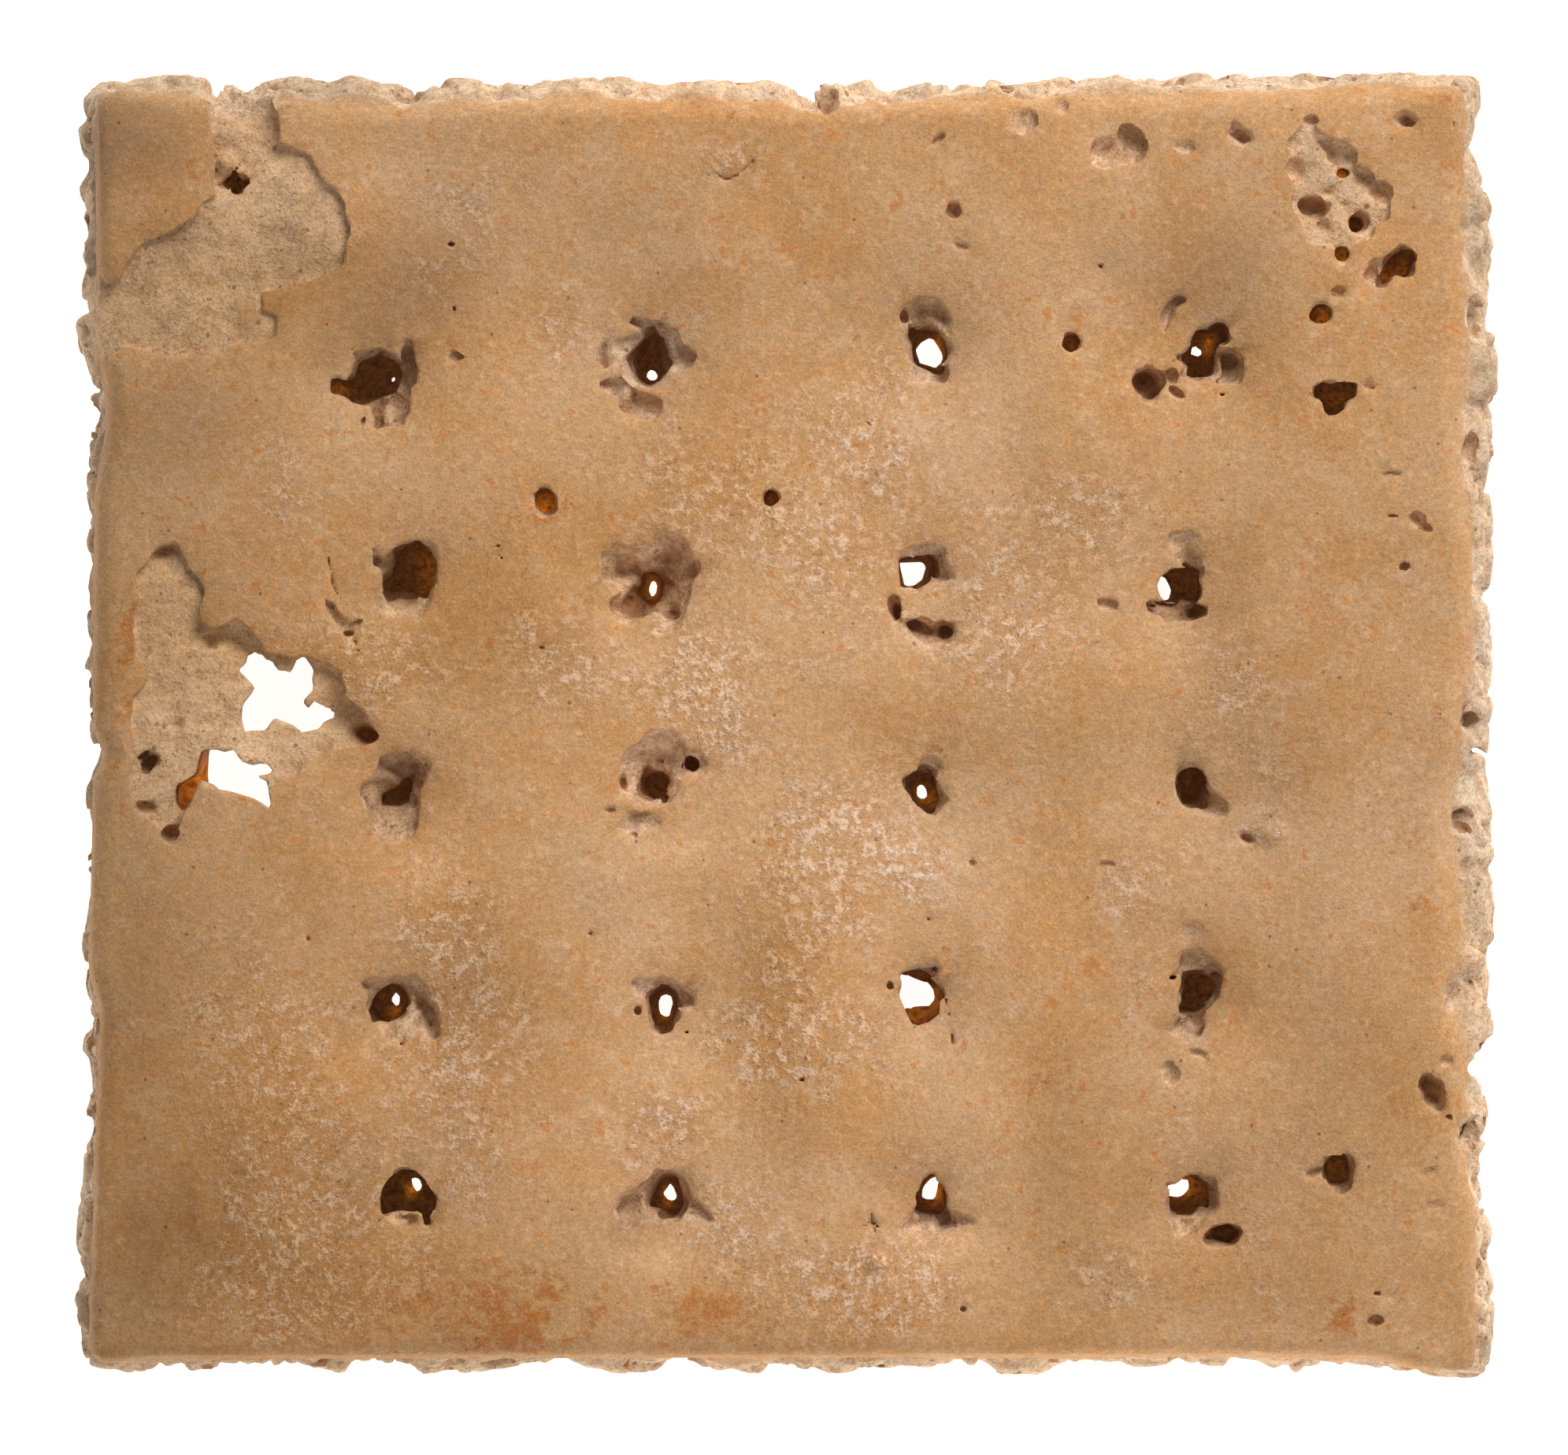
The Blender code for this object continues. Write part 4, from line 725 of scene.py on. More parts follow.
CRACKS = (
    (0.4, ((-25.25, 9.5, 0.03), (-25.1, 8.8, 0.06), (-25, 8, 0.1), (-24.9, 7.65, 0.12),
        (-24.6, 7.3, 0.03))),
    (0.5, ((-25.3, 7.5, 0.03), (-25.3, 7, 0.06), (-25.1, 6.5, 0.09))),
    (0.7, ((-24.1, 5.1, 0.1), (-23.7, 4.7, 0.07), (-23.5, 4.2, 0.04))),
    (0.8, ((8.7, -14.4, 0.12), (9, -15.3, 0.1), (9.2, -16.2, 0.06), (9.2, -16.8, 0.1),
        (9.35, -17.5, 0.12))),
    (0.4, ((-3, -16.1, 0.04), (-2.3, -16.5, 0.06), (-1.4, -16.6, 0.07), (-0.9, -16.9, 0.04))),
    (0.35, ((-5.8, 30.3, 0.03), (-4.4, 30.4, 0.06), (-3.8, 30.65, 0.07), (-3.2, 30.3, 0.07),
        (-2.4, 30.6, 0.08), (-1.8, 31.2, 0.06), (-1.5, 32, 0.04))),
    (0.5, ((4.3, -27.7, 0.05), (4.8, -27.3, 0.06), (5.2, -27.6, 0.06))),
    (0.4, ((4.9, -26.7, 0.04), (4.8, -27.3, 0.06), (5, -27.9, 0.05))),
)
CORNERED_PITS = (
    (3.2, 0.05, ((33.5, 26.2), (34.2, 26.65), (34.8, 26.4), (35, 25.95), (34.8, 25.05), (34.3, 24.8),
        (33.8, 24.95), (33.3, 24.4), (32.8, 24.4), (33, 25.2), (33.2, 25.7))),
    (0.7, 0.2, ((31.9, 25), (32.3, 25.3), (32.7, 25.75), (33.1, 25.6), (33, 24.6), (32.3, 24.5))),
    (3.4, 0.03, ((29.3, 18.9), (29.8, 19.1), (30.2, 18.9), (30.9, 19.2), (31.6, 19), (31.6, 18.3),
        (31, 18.1), (30.8, 17.6), (30.2, 17.4), (29.8, 17.6), (29.7, 18.1), (29.2, 18.3))),
    (0.5, 0.2, ((31.9, 18.9), (32.4, 19.3), (32.6, 18.9), (32.9, 18.75), (32.2, 18.6))),
    (0.7, 0.3, ((24.6, 32.8), (24.9, 33.3), (25.3, 33), (25.7, 32.9), (25.8, 32.5), (25.4, 32.3),
        (24.9, 32.6))),
    (0.8, 0.3, ((33.8, 33.6), (34.3, 33.9), (34.9, 33.5), (34.75, 33.15), (34.2, 33.3))),
    (0.5, 0.1, ((-25.2, 6.8), (-24.9, 6.4), (-24.5, 6), (-24, 5.8), (-23.5, 5.8), (-23.6, 5.4),
        (-23.9, 5.1), (-24.3, 5), (-24.7, 5.3), (-25.1, 6))),
)
for numbers in PITS:
    cup(*numbers)
for numbers in CRACKS:
    crack(*numbers)
for numbers in CORNERED_PITS:
    well(*numbers)
for px, py, pz, rx, ry, rz in BUBBLES:
    ball(px, py, pz, rx, ry, rz)
print(len(PITS) + len(CORNERED_PITS), "pits,", len(BUBBLES), "bubbles and", len(CRACKS), "cracks")

# %% [markdown]
# ## Flakes and breaks
#
# Three sheets of crust have flaked off: at the back left corner, halfway down the left side, and
# over the sponge of bubbles. Each is a many-cornered outline with a rough floor a little under
# the crust. The second floor has itself broken right through in two ragged stars, over a hollow
# that is wider than they are, and a slot beside them is open down to a thin layer of bread.

# %% Outlines, as corners in order
CORNER_FLAKE = (
    (-31.8, 36.5), (-28, 36.5), (-28, 32.3), (-27, 31.9), (-26.2, 31.6), (-25.5, 30.5), (-24.5, 29.2),
    (-24, 27.8), (-24.15, 27), (-24.4, 25.7), (-25, 25.1), (-26, 24.9), (-27.5, 24.5), (-28.8, 24),
    (-28.9, 23), (-28.3, 22.6), (-28.2, 21.7), (-29.2, 21.1), (-31, 20.8), (-33, 20.5), (-35, 20.9),
    (-36.6, 20.9), (-38, 20.3), (-41, 20), (-41, 25.6), (-38.4, 25.3), (-37.2, 24.6), (-36.6, 24.9),
    (-35.5, 27), (-34, 27.4), (-32.9, 28.1), (-31.6, 29.5), (-31.5, 30.4),
)
SIDE_FLAKE = (
    (-33.6, 10.5), (-33.4, 9.6), (-32.8, 8.6), (-32.4, 7.6), (-32.3, 5.8), (-31.6, 5.5), (-30.5, 5.7),
    (-29.5, 5.1), (-28.4, 4), (-26, 3.6), (-24.2, 3.2), (-24.2, 1.9), (-23.2, 0.6), (-22.1, -0.4),
    (-22.6, -1), (-24, -1.1), (-25, -1.2), (-26.5, -2), (-28.5, -3.3), (-30.2, -3.5), (-31.4, -3.3),
    (-32.3, -3), (-33.1, -4.6), (-34, -6.3), (-34.6, -5.4), (-35.6, -4.9), (-36, -3.5), (-36, -1),
    (-36.1, 1.2), (-35.6, 2.5), (-35.8, 5), (-36, 7), (-35.8, 8.6), (-34.8, 9.6),
)
SPONGE = (
    (27.8, 32.1), (28.4, 33.2), (29.1, 33.4), (29.4, 32.9), (30.1, 32.3), (31.3, 32.4), (31.45, 31.6),
    (32.35, 30.6), (32.6, 30), (33.3, 30), (33.6, 29.2), (33.4, 28.1), (32.6, 27.8), (32.35, 27.2),
    (31.7, 26.7), (30.1, 26.6), (29, 27), (28.6, 27.8), (28.2, 29.3), (27.9, 30.4),
)
FIRST_BREAK = (
    (-30.1, 3.2), (-29.5, 3.8), (-29, 3.9), (-28.4, 3.6), (-28, 3.1), (-27.2, 2.9), (-27, 3.7),
    (-26.6, 3.8), (-26, 3.2), (-26.1, 2.2), (-26.7, 1.5), (-26.4, 1), (-26, 1.4), (-25.5, 1.1),
    (-25, 0.7), (-25.6, 0.3), (-25.7, -0.1), (-26.7, -0.3), (-27.5, 0.2), (-28.2, 0.5), (-28.6, -0.3),
    (-29.9, -0.3), (-30.1, 0.5), (-29.9, 1.3), (-29.3, 2.2),
)
SECOND_BREAK = (
    (-31.3, -1.4), (-30.5, -1.2), (-30, -1.9), (-29.4, -2.2), (-28.6, -2.1), (-28.4, -2.4), (-29.4, -2.7),
    (-28.7, -3), (-28.3, -4.3), (-28.5, -4.5), (-30.2, -3.6), (-31.3, -3.3), (-31.5, -2.5),
)
GLOWING_SLOT = (
    (-32.2, -1.3), (-31.2, -1.2), (-31.3, -3.3), (-32.3, -2.9), (-32.9, -4.2), (-33.3, -4.7),
    (-33.7, -4.1), (-33.6, -3.2), (-32.6, -2.6),
)
print("flakes of", len(CORNER_FLAKE), "and", len(SIDE_FLAKE), "corners, a sponge of", len(SPONGE))

# %% Cut the flakes, with dents and rises of their floors as mounds
FLAKE_DEPTHS = (0.42, 0.6, 0.5)
FLAKE_SOFTEN = 0.05
EDGE_GRAIN = ((0.9, 0.10), (0.45, 0.08))
FLAKE_FLOORS = (
    (-30, 22.6, 5.5, 1.3, 0.08), (-29, 33.4, 1.6, 2.2, -0.9), (-30.8, 34.8, 1.2, 1.2, -1.2),
    (-25.6, 26, 1.6, 1, -0.15, 30), (-34.5, 6.5, 1, 2.5, 0.15), (-34.4, 9.7, 0.7, 0.5, -1, 25),
    (-30, 4.6, 1.6, 0.6, -0.7, -30), (-31.6, 4.8, 0.5, 0.4, -0.6), (-24.6, 1, 1.3, 1.2, -0.7, -40),
    (-23, -0.4, 0.8, 0.45, -2, -10), (-26.5, -1.4, 1.5, 0.7, 0.3), (-37.6, 24.5, 1.5, 2, -0.6),
    (-38.8, 22.6, 1.3, 2.4, -1), (-30.9, 31.4, 1.3, 1.2, -1), (-30.95, 31.25, 0.5, 0.5, 1.5),
    (31, 31.3, 1.2, 1, -0.3), (29.2, 29.2, 1.6, 1, -0.2), (-34.4, 26.4, 1.6, 0.6, -0.15, 30),
)
edge_wander = plan_noise(EDGE_GRAIN)
flakes = [outline_distance(corners, plan_x, plan_y) for corners in (CORNER_FLAKE, SIDE_FLAKE, SPONGE)]
dents = mounds(FLAKE_FLOORS, plan_x, plan_y)
for flake, depth in zip(flakes, FLAKE_DEPTHS):
    wall = (flake + edge_wander)[:, :, None]
    ground = (smooth_top - depth + floor_relief + dents)[:, :, None]
    cut = smaller(cut, larger(wall, ground - z3, FLAKE_SOFTEN), FLAKE_SOFTEN)
print("cut", len(flakes), "flakes, the deepest", f"{-dents.min() + max(FLAKE_DEPTHS):.1f} mm")

# %% Cut the breaks through the floor, then pits in it
BREAKS = ((FIRST_BREAK, 1.3), (SECOND_BREAK, 1.0))
BREAK_REACH, BREAK_WANDER = 2.5, 0.6
BELLY_START, BELLY_HEIGHT = 1.0, 2.0
SLOT_BLOCK, SLOT_TEAR = ((-35, -6, 2.5), (-30, 0, SKY)), 0.04

for corners, spread in BREAKS:
    low, high = np.min(corners, 0) - BREAK_REACH, np.max(corners, 0) + BREAK_REACH
    where, x, y, z, over = block((*low, GROUND), (*high, SKY))
    wander = edge_wander[where[:2]][:, :, None] * BREAK_WANDER
    belly = spread * ease(over - BELLY_START - z, 0.0, BELLY_HEIGHT)
    hollow(where, outline_distance(corners, x, y) + wander - belly, 0.0)
where, x, y, z, over = block(*SLOT_BLOCK)
hollow(where, outline_distance(GLOWING_SLOT, x, y) + 0.0 * z, SLOT_TEAR)

LATER_PITS = (
    (-35.1, -1.8, 0.95, 0.85, -15, 1.7, 2.5), (-35.4, -4.4, 0.55, 0.35, 0, 1, 3),
    (-33.9, -5.9, 0.55, 0.4, 25, 1.7, 3), (-31.6, 4.75, 0.65, 0.45, 0, 1.5, 3),
    (-33.7, 0.25, 0.55, 0.35, 0, 0.85, 3), (-32, 0.3, 1, 0.35, 0, 0.85, 3),
)
KNOT_HOLE = (
    (-31.25, 30), (-30.85, 30.35), (-30.4, 30.9), (-30.2, 30.6), (-29.9, 30.3), (-29.55, 30.2),
    (-29.9, 29.9), (-30.1, 29.6), (-30.4, 29.6), (-30.5, 30), (-30.8, 29.95),
)
KNOT_DEPTH = 4.5

for numbers in LATER_PITS:
    cup(*numbers)
well(KNOT_DEPTH, 0.0, KNOT_HOLE)
print("cut", len(BREAKS), "breaks, a slot and", len(LATER_PITS) + 1, "pits")

# %% [markdown]
# ## Chips and crumb bubbles
#
# The torn sides have larger bites out of them, and a strip of the right lip stands off behind a
# curved gap. The crumb is full of small bubbles that the tear laid open. Nobody could tell one
# from another, so they are drawn at random, from a fixed seed, just inside the four sides.

# %% Bites out of the edge
CHIPS = (
    (1.5, 35.3, 9.5, 0.9, 1.3, 5), (2.4, 34.6, 10.6, 0.5, 0.9, 2.4), (1, 34.7, 11, 0.5, 0.6, 1.6),
    (-29.9, 35.6, 12.2, 2, 1.6, 2.6), (-31.7, 35.4, 8, 0.5, 0.6, 5), (-21.1, 35.3, 10.2, 0.9, 0.9, 2.2),
    (37.6, -5, 11, 0.95, 0.85, 1.5), (38.6, -18.8, 9, 0.8, 0.8, 4), (37.2, -14.4, 11.4, 0.8, 1.2, 1.3),
    (-38.9, -1.5, 9.6, 0.9, 1.5, 4), (-38.5, 17.4, 9.2, 0.7, 1.1, 4.6),
    (-38.8, -16.4, 9.6, 0.9, 1.2, 3.2), (38.9, -25.2, 9, 0.6, 1, 5), (37.7, -8, 11.4, 0.35, 1.8, 0.9),
    (38, 0.3, 10.6, 0.7, 0.8, 1.2), (37.9, 27.5, 10.9, 0.5, 0.5, 1), (38.3, 22.5, 10, 0.6, 1.2, 1.3),
    (37.9, 15.5, 10.4, 0.5, 0.8, 0.8),
)
CHIP_TEAR = 0.3
GAP_BLOCK, GAP_TEAR = ((37.4, -2.6, GROUND), (39.4, -0.4, SKY)), 0.03
GAP_PLACE, GAP_BEND, GAP_INNER = 1.25, 0.45, 38.4
GAP_OUTER, GAP_LENGTH, GAP_WIDTH = 38.8, 0.8, 0.2

for px, py, pz, rx, ry, rz in CHIPS:
    ball(px, py, pz, rx, ry, rz, CHIP_TEAR)
where, x, y, z, over = block(*GAP_BLOCK)
arc = y + GAP_PLACE + GAP_BEND * (x - GAP_INNER) ** 2
level = np.hypot((x - GAP_OUTER) / GAP_LENGTH, arc / GAP_WIDTH)
hollow(where, level * GAP_WIDTH - GAP_WIDTH + 0 * z, GAP_TEAR)
print(len(CHIPS), "chips and a curved gap behind the lip of the right side")

# %% Random bubbles in the crumb, as (side, how many, lowest, highest)
CRUMB_BUBBLES = (
    ("right", 150, 1.4, 9.9), ("back", 140, 1.4, 9.7), ("left", 80, 1.2, 6.5), ("front", 60, 1.0, 4.5),
)
ALONG, SUNK = (-35, 35), (0.1, 0.5)
BUBBLE_RADIUS, BUBBLE_GROWTH = 0.22, 0.5
BUBBLE_WIDE, BUBBLE_HIGH, BUBBLE_TEAR = 1.2, 0.85, 0.12
JOIN = 0.05

rooms = {"right": (right, Y), "left": (left, Y), "back": (back, X), "front": (front, X)}
for name, count, low, high in CRUMB_BUBBLES:
    distance, places = rooms[name]
    for _ in range(count):
        place, height, size = rng.uniform(*ALONG), rng.uniform(low, high), rng.uniform(0, 1) ** 2
        radius = BUBBLE_RADIUS + BUBBLE_GROWTH * size
        out = distance[np.searchsorted(places, place), np.searchsorted(Z, height)] - rng.uniform(*SUNK)
        px, py = {"right": (out, place), "left": (-out, place),
                  "back": (place, out), "front": (place, -out)}[name]
        wide, high_radius = radius * BUBBLE_WIDE, radius * BUBBLE_HIGH
        ball(px, py, height, wide, wide, high_radius, BUBBLE_TEAR)

field = larger(skin, -cut, JOIN)
print("bread left:", int((field < 0).sum() * STEP ** 3), "cubic mm")

# %% [markdown]
# ## Drawing the net
#
# Every lattice cell that the surface passes through gets one vertex, at the mean of the places
# where the surface crosses the cell's edges. Every lattice edge whose ends differ in sign gets
# one four-sided face, joining the vertices of the four cells round it.

# %% Surface net of the field
CORNERS = [(i, j, k) for i in (0, 1) for j in (0, 1) for k in (0, 1)]
CELL_EDGES = [(a, b) for a in range(8) for b in range(a + 1, 8)
              if sum(abs(p - q) for p, q in zip(CORNERS[a], CORNERS[b])) == 1]


def net(field):
    """Vertices in lattice units and quads of vertex numbers, wound with their faces outward."""
    inside = field < 0
    nx, ny, nz = (n - 1 for n in field.shape)
    count = np.zeros((nx, ny, nz), np.int8)
    for i, j, k in CORNERS:
        count += inside[i:i + nx, j:j + ny, k:k + nz]
    cells = np.argwhere((count > 0) & (count < 8))
    number = np.full((nx, ny, nz), -1, np.int32)
    number[tuple(cells.T)] = np.arange(len(cells))
    values = [field[tuple((cells + corner).T)] for corner in CORNERS]
    total = np.zeros((len(cells), 3), np.float32)
    hits = np.zeros(len(cells), np.float32)
    for a, b in CELL_EDGES:
        crosses = (values[a] < 0) != (values[b] < 0)
        share = values[a] / np.where(crosses, values[a] - values[b], 1)
        start, end = np.array(CORNERS[a], np.float32), np.array(CORNERS[b], np.float32)
        total += np.where(crosses[:, None], start + share[:, None] * (end - start), 0)
        hits += crosses
    vertices = cells + total / hits[:, None]

    quads = []
    for axis in range(3):
        step = np.eye(3, dtype=int)[axis]
        one, two = np.eye(3, dtype=int)[(axis + 1) % 3], np.eye(3, dtype=int)[(axis + 2) % 3]
        here = inside[:-1, :-1, :-1]
        there = inside[step[0]:step[0] + nx, step[1]:step[1] + ny, step[2]:step[2] + nz]
        edges = np.argwhere(here != there)
        edges = edges[(edges @ one > 0) & (edges @ two > 0)]
        ring = [number[tuple((edges - shift).T)] for shift in (0 * one, one, one + two, two)]
        quad = np.stack(ring, 1)
        leaves = ~here[tuple(edges.T)]
        quad[leaves] = quad[leaves][:, ::-1]
        quads.append(quad)
    return vertices, np.concatenate(quads)


vertices, quads = net(field)
print("net of", len(vertices), "vertices and", len(quads), "faces")

# %% [markdown]
# Tearing leaves crumbs that hang in the air and bubbles that nothing opens. Each vertex takes the
# lowest number found among its neighbours until nothing changes, which leaves one number for
# each connected body, and only the largest body is kept.

# %% Keep the largest connected body


def largest_body(vertices, quads):
    """Drops every part of the net that isn't joined to the largest one."""
    label = np.arange(len(vertices))
    while True:
        low = label[quads].min(1)
        fresh = label.copy()
        for side_of_quad in quads.T:
            np.minimum.at(fresh, side_of_quad, low)
        fresh = fresh[fresh]
        if (fresh == label).all():
            break
        label = fresh
    kept = label == np.bincount(label).argmax()
    renumber = np.cumsum(kept) - 1
    return vertices[kept], renumber[quads[kept[quads[:, 0]]]]


vertices, quads = largest_body(vertices, quads)
vertices = vertices * STEP + np.array((X[0], Y[0], Z[0]), np.float32)
box = np.array(((-LENGTH / 2, -WIDTH / 2, 0.0), (LENGTH / 2, WIDTH / 2, THICKNESS)), np.float32)
vertices = np.clip(vertices, box[0], box[1])
print("kept", len(vertices), "vertices")

# %% [markdown]
# The net has the same fine mesh on the flat underside as in the torn crumb. Collapsing short
# edges where the surface is nearly flat brings it under the size that an export can carry.

# %% Mesh object, thinned
TRIANGLES = 196000
SHARP_ANGLE = 48


def mesh_object(name, vertices, faces):
    """A linked object made from arrays of vertices in millimetres and faces."""
    mesh = bpy.data.meshes.new(name)
    mesh.from_pydata([], [], [])
    mesh.vertices.add(len(vertices))
    mesh.vertices.foreach_set("co", (vertices * MM).astype(np.float32).ravel())
    mesh.loops.add(faces.size)
    mesh.loops.foreach_set("vertex_index", faces.astype(np.int32).ravel())
    mesh.polygons.add(len(faces))
    mesh.polygons.foreach_set("loop_start", np.arange(0, faces.size, faces.shape[1], dtype=np.int32))
    mesh.update(calc_edges=True)
    mesh.validate()
    obj = bpy.data.objects.new(name, mesh)
    bpy.context.scene.collection.objects.link(obj)
    return obj


def apply_modifiers(obj):
    """Replaces the object's mesh by the one that its modifiers make."""
    view = bpy.context.evaluated_depsgraph_get()
    view.update()
    finished = bpy.data.meshes.new_from_object(obj.evaluated_get(view))
    obj.modifiers.clear()
    obj.data = finished


biscuit = mesh_object("hardtack_crust_and_crumb", vertices, quads)
thin = biscuit.modifiers.new("thin", "DECIMATE")
thin.ratio = min(1.0, TRIANGLES / (2 * len(quads)))
apply_modifiers(biscuit)
biscuit.data.shade_smooth()
biscuit.data.set_sharp_from_angle(angle=np.radians(SHARP_ANGLE))
print("thinned to", len(biscuit.data.polygons), "triangles and four-sided faces")

# %% [markdown]
# ## What the colours need to know
#
# The crust and the crumb under it have different colours, and both change with place: how deep
# a point lies under the unbroken skin, how far down a hole it is, and where the oven or an old
# damp patch left its mark. Painted shade and light go in with these marks and in marks of their
# own. Those are worked out for every vertex and kept as attributes, which move with the mesh and
# need no picture. The marks are sums of mounds, like the swells.

# %% Places of the marks, as (x, y, half widths, strength[, turn])
# toasted spots, browner than the rest, and a painted shadow line along the cliff at the left flake's edge
TOAST_AND_SHADE = (
    (-16.5, -31.8, 6, 2.6, 0.55), (-14.5, -33, 4.5, 1.3, 0.5), (-4, -32.4, 3.6, 1.5, 0.75),
    (-25, -33.5, 2.5, 1.5, 0.3), (-20.5, -31.7, 1.2, 0.8, 0.35), (31, -32.8, 1.4, 1.4, 0.7),
    (7.2, 33.2, 1.1, 0.9, 0.7), (11.5, 33, 0.6, 0.5, 0.5), (35, -10.3, 0.8, 0.8, 0.6),
    (35.2, -6.2, 0.7, 0.8, 0.5), (36.2, 0.5, 0.6, 1, 0.5), (34.3, 34.95, 0.35, 0.2, 1.2),
    (35.7, 35.25, 0.3, 0.25, 1.2), (36.4, 34.8, 0.3, 0.3, 1.2), (35.6, 34.7, 0.25, 0.2, 1),
    (34.5, -21.2, 1.2, 1.6, 0.3), (-4.3, 33.8, 2, 1.5, 0.45), (14.2, -21.5, 1, 2.5, 0.2),
    (15.5, 2.5, 2, 2, 0.25), (-27, 4.8, 3, 1, 0.3), (-30.5, 6.8, 2, 1.5, 0.2), (-13, 12, 3.5, 3, 0.22),
    (-3, 17.5, 4, 3, 0.25, 20), (16, -19, 3.5, 6, 0.2), (5, -19, 2.5, 1.8, 0.3),
    (23, -30.5, 2.5, 1.5, 0.25), (1, -11.5, 2, 2, 0.2), (-17, 8, 3, 4, 0.15), (-18, -35.6, 12, 1.2, 0.32),
    (-36.1, 2.5, 0.3, 5.5, 0.8), (22.5, -11.3, 0.6, 0.5, 0.5), (10, -36, 14, 1, 0.3),
    (-10, -28.8, 3, 1.5, 0.15),
)
# dry flour that baked on
FLOUR = (
    (-23, 3.5, 4.5, 3, 0.8), (-12, 4, 3.5, 3, 0.8), (-4.5, 2, 2.5, 4.5, 0.9, 20),
    (-5, 13, 3.5, 3, 0.6, -20), (3.5, 16, 3, 6, 0.4), (0, 8.5, 3.5, 4.5, 0.28),
    (26.9, -5.85, 0.6, 0.45, 1.2), (13, 6, 3.5, 6, 0.65), (17, 12, 4, 2.5, 0.6, -20),
    (-28, -19, 4, 7, 0.8, 20), (-27, -27.5, 4.5, 3.5, 1), (-28, -32, 5, 2, 0.9), (-20, -31.5, 6, 3, 0.25),
    (-17.5, -19, 3.5, 7, 0.75), (0, -17, 5, 3.5, 0.95), (1, -9, 3, 5, 0.7, -15), (3.5, -5.5, 4, 4, 0.48),
    (-7, -22, 2.5, 2.5, 0.7), (6, -31, 3.5, 2.5, 1), (1, -31, 6, 3, 0.5), (-3, -27, 3, 3, 0.6),
    (18.5, -30.5, 3, 2, 0.7), (7.5, -7.5, 3, 2, 0.6), (19.5, -9.5, 2, 3.5, 0.6), (28, -2, 2.5, 3, 0.5),
    (25, 3, 3, 3, 0.5), (-19, -11, 2.5, 2.5, 0.7), (-3, 31, 2.5, 1.5, 0.5), (-18, 27, 3, 4, 0.4),
    (-12, 22, 2, 3, 0.4), (-28, 14, 2, 5, 0.4, -30), (26, -30, 2.5, 5, 0.4, 20), (4, 10, 7, 9, 0.25),
    (22, -22, 1.5, 3, 0.4),
)
# grey-brown damp stains, and painted shade in the valleys of the quilting and on slopes turned from the
# lamp
STAINS_AND_SHADE = (
    (-37.5, 32.4, 2.2, 1.6, 1), (-20.3, 25.5, 2.8, 2.2, 0.55), (-28, 27.6, 0.9, 0.7, 0.6),
    (-35.3, 22.4, 1.6, 0.7, 0.8), (10, 21.5, 1.3, 1.2, 0.5), (17.8, 25.9, 1, 0.8, 0.4),
    (24, 25.5, 3.2, 2.2, 0.35), (26, 26, 0.8, 0.6, 0.3), (-30.8, 23, 1, 0.4, 0.6, 30),
    (10.6, 8.6, 1.2, 1.2, 0.35), (-25.7, 29, 0.7, 0.9, 0.4), (-38.6, 26.5, 1.2, 2.5, 0.5),
    (23, -11.8, 0.6, 0.5, 0.5), (-9.5, 27.5, 3.5, 2.5, 0.2), (-5, 24.5, 2.5, 1.5, 0.3),
    (-24, 22.5, 3, 3.5, 0.25), (-33.5, 17, 4, 3, 0.2), (13.5, 14, 1.6, 5, 0.25), (15.2, -23, 1.6, 7, 0.3),
    (15, -1.5, 2, 2.5, 0.25), (-1.2, -12.8, 1.6, 3, 0.3, 20), (0.6, -21, 1.8, 3, 0.3),
    (-16.5, -14, 3, 3, 0.2), (-31.5, 27, 3, 3, 0.1),
)
# painted glow, orange colour and light of its own, where thin bread deep in the holes would let light
# through
EMBERS = (
    (-13.3, 12.2, 0.7, 0.6, 0.9), (-24.8, 18.8, 0.5, 0.5, 0.35), (8.6, 21, 0.3, 0.7, 0.7),
    (23.7, 21.35, 0.25, 0.45, 0.8), (-7.3, 7.7, 0.35, 0.6, 0.5), (7, 7.8, 0.9, 0.4, 0.25),
    (-19.8, 8.6, 0.6, 1.6, 0.2), (7.9, -4.1, 0.6, 0.5, 0.4), (-21.7, -15.9, 0.35, 0.35, 0.45),
    (-6.6, -15.9, 0.4, 0.6, 0.3), (7.5, -16.1, 0.9, 0.5, 0.5), (8.5, -15.2, 0.3, 0.8, 0.4),
    (-20.85, -25.9, 0.3, 0.35, 0.8), (-6.55, -26.3, 0.2, 0.5, 0.7), (8.5, -25.9, 0.4, 0.6, 0.8),
    (22.4, -25.7, 0.7, 0.6, 0.6), (30.9, 30.6, 0.35, 0.35, 0.8), (31.1, 26.1, 0.5, 0.5, 0.5),
    (33.4, 24.9, 0.6, 0.5, 0.6), (34.5, 25.4, 0.5, 0.5, 0.3), (30.1, 22.7, 0.4, 0.7, 0.45),
    (-32.4, -2.8, 1.6, 1.9, 0.9), (-23, -0.5, 1, 0.6, 0.5), (-26, 2.3, 0.6, 0.5, 0.7),
    (15.9, 21.3, 0.6, 0.6, 0.08), (30.6, -24.6, 0.9, 0.9, 0.06), (30.9, 18.2, 0.8, 0.6, 0.12),
    (-33.9, -6.2, 0.5, 0.4, 0.2), (-0.7, 12.6, 0.5, 0.5, 0.05),
)
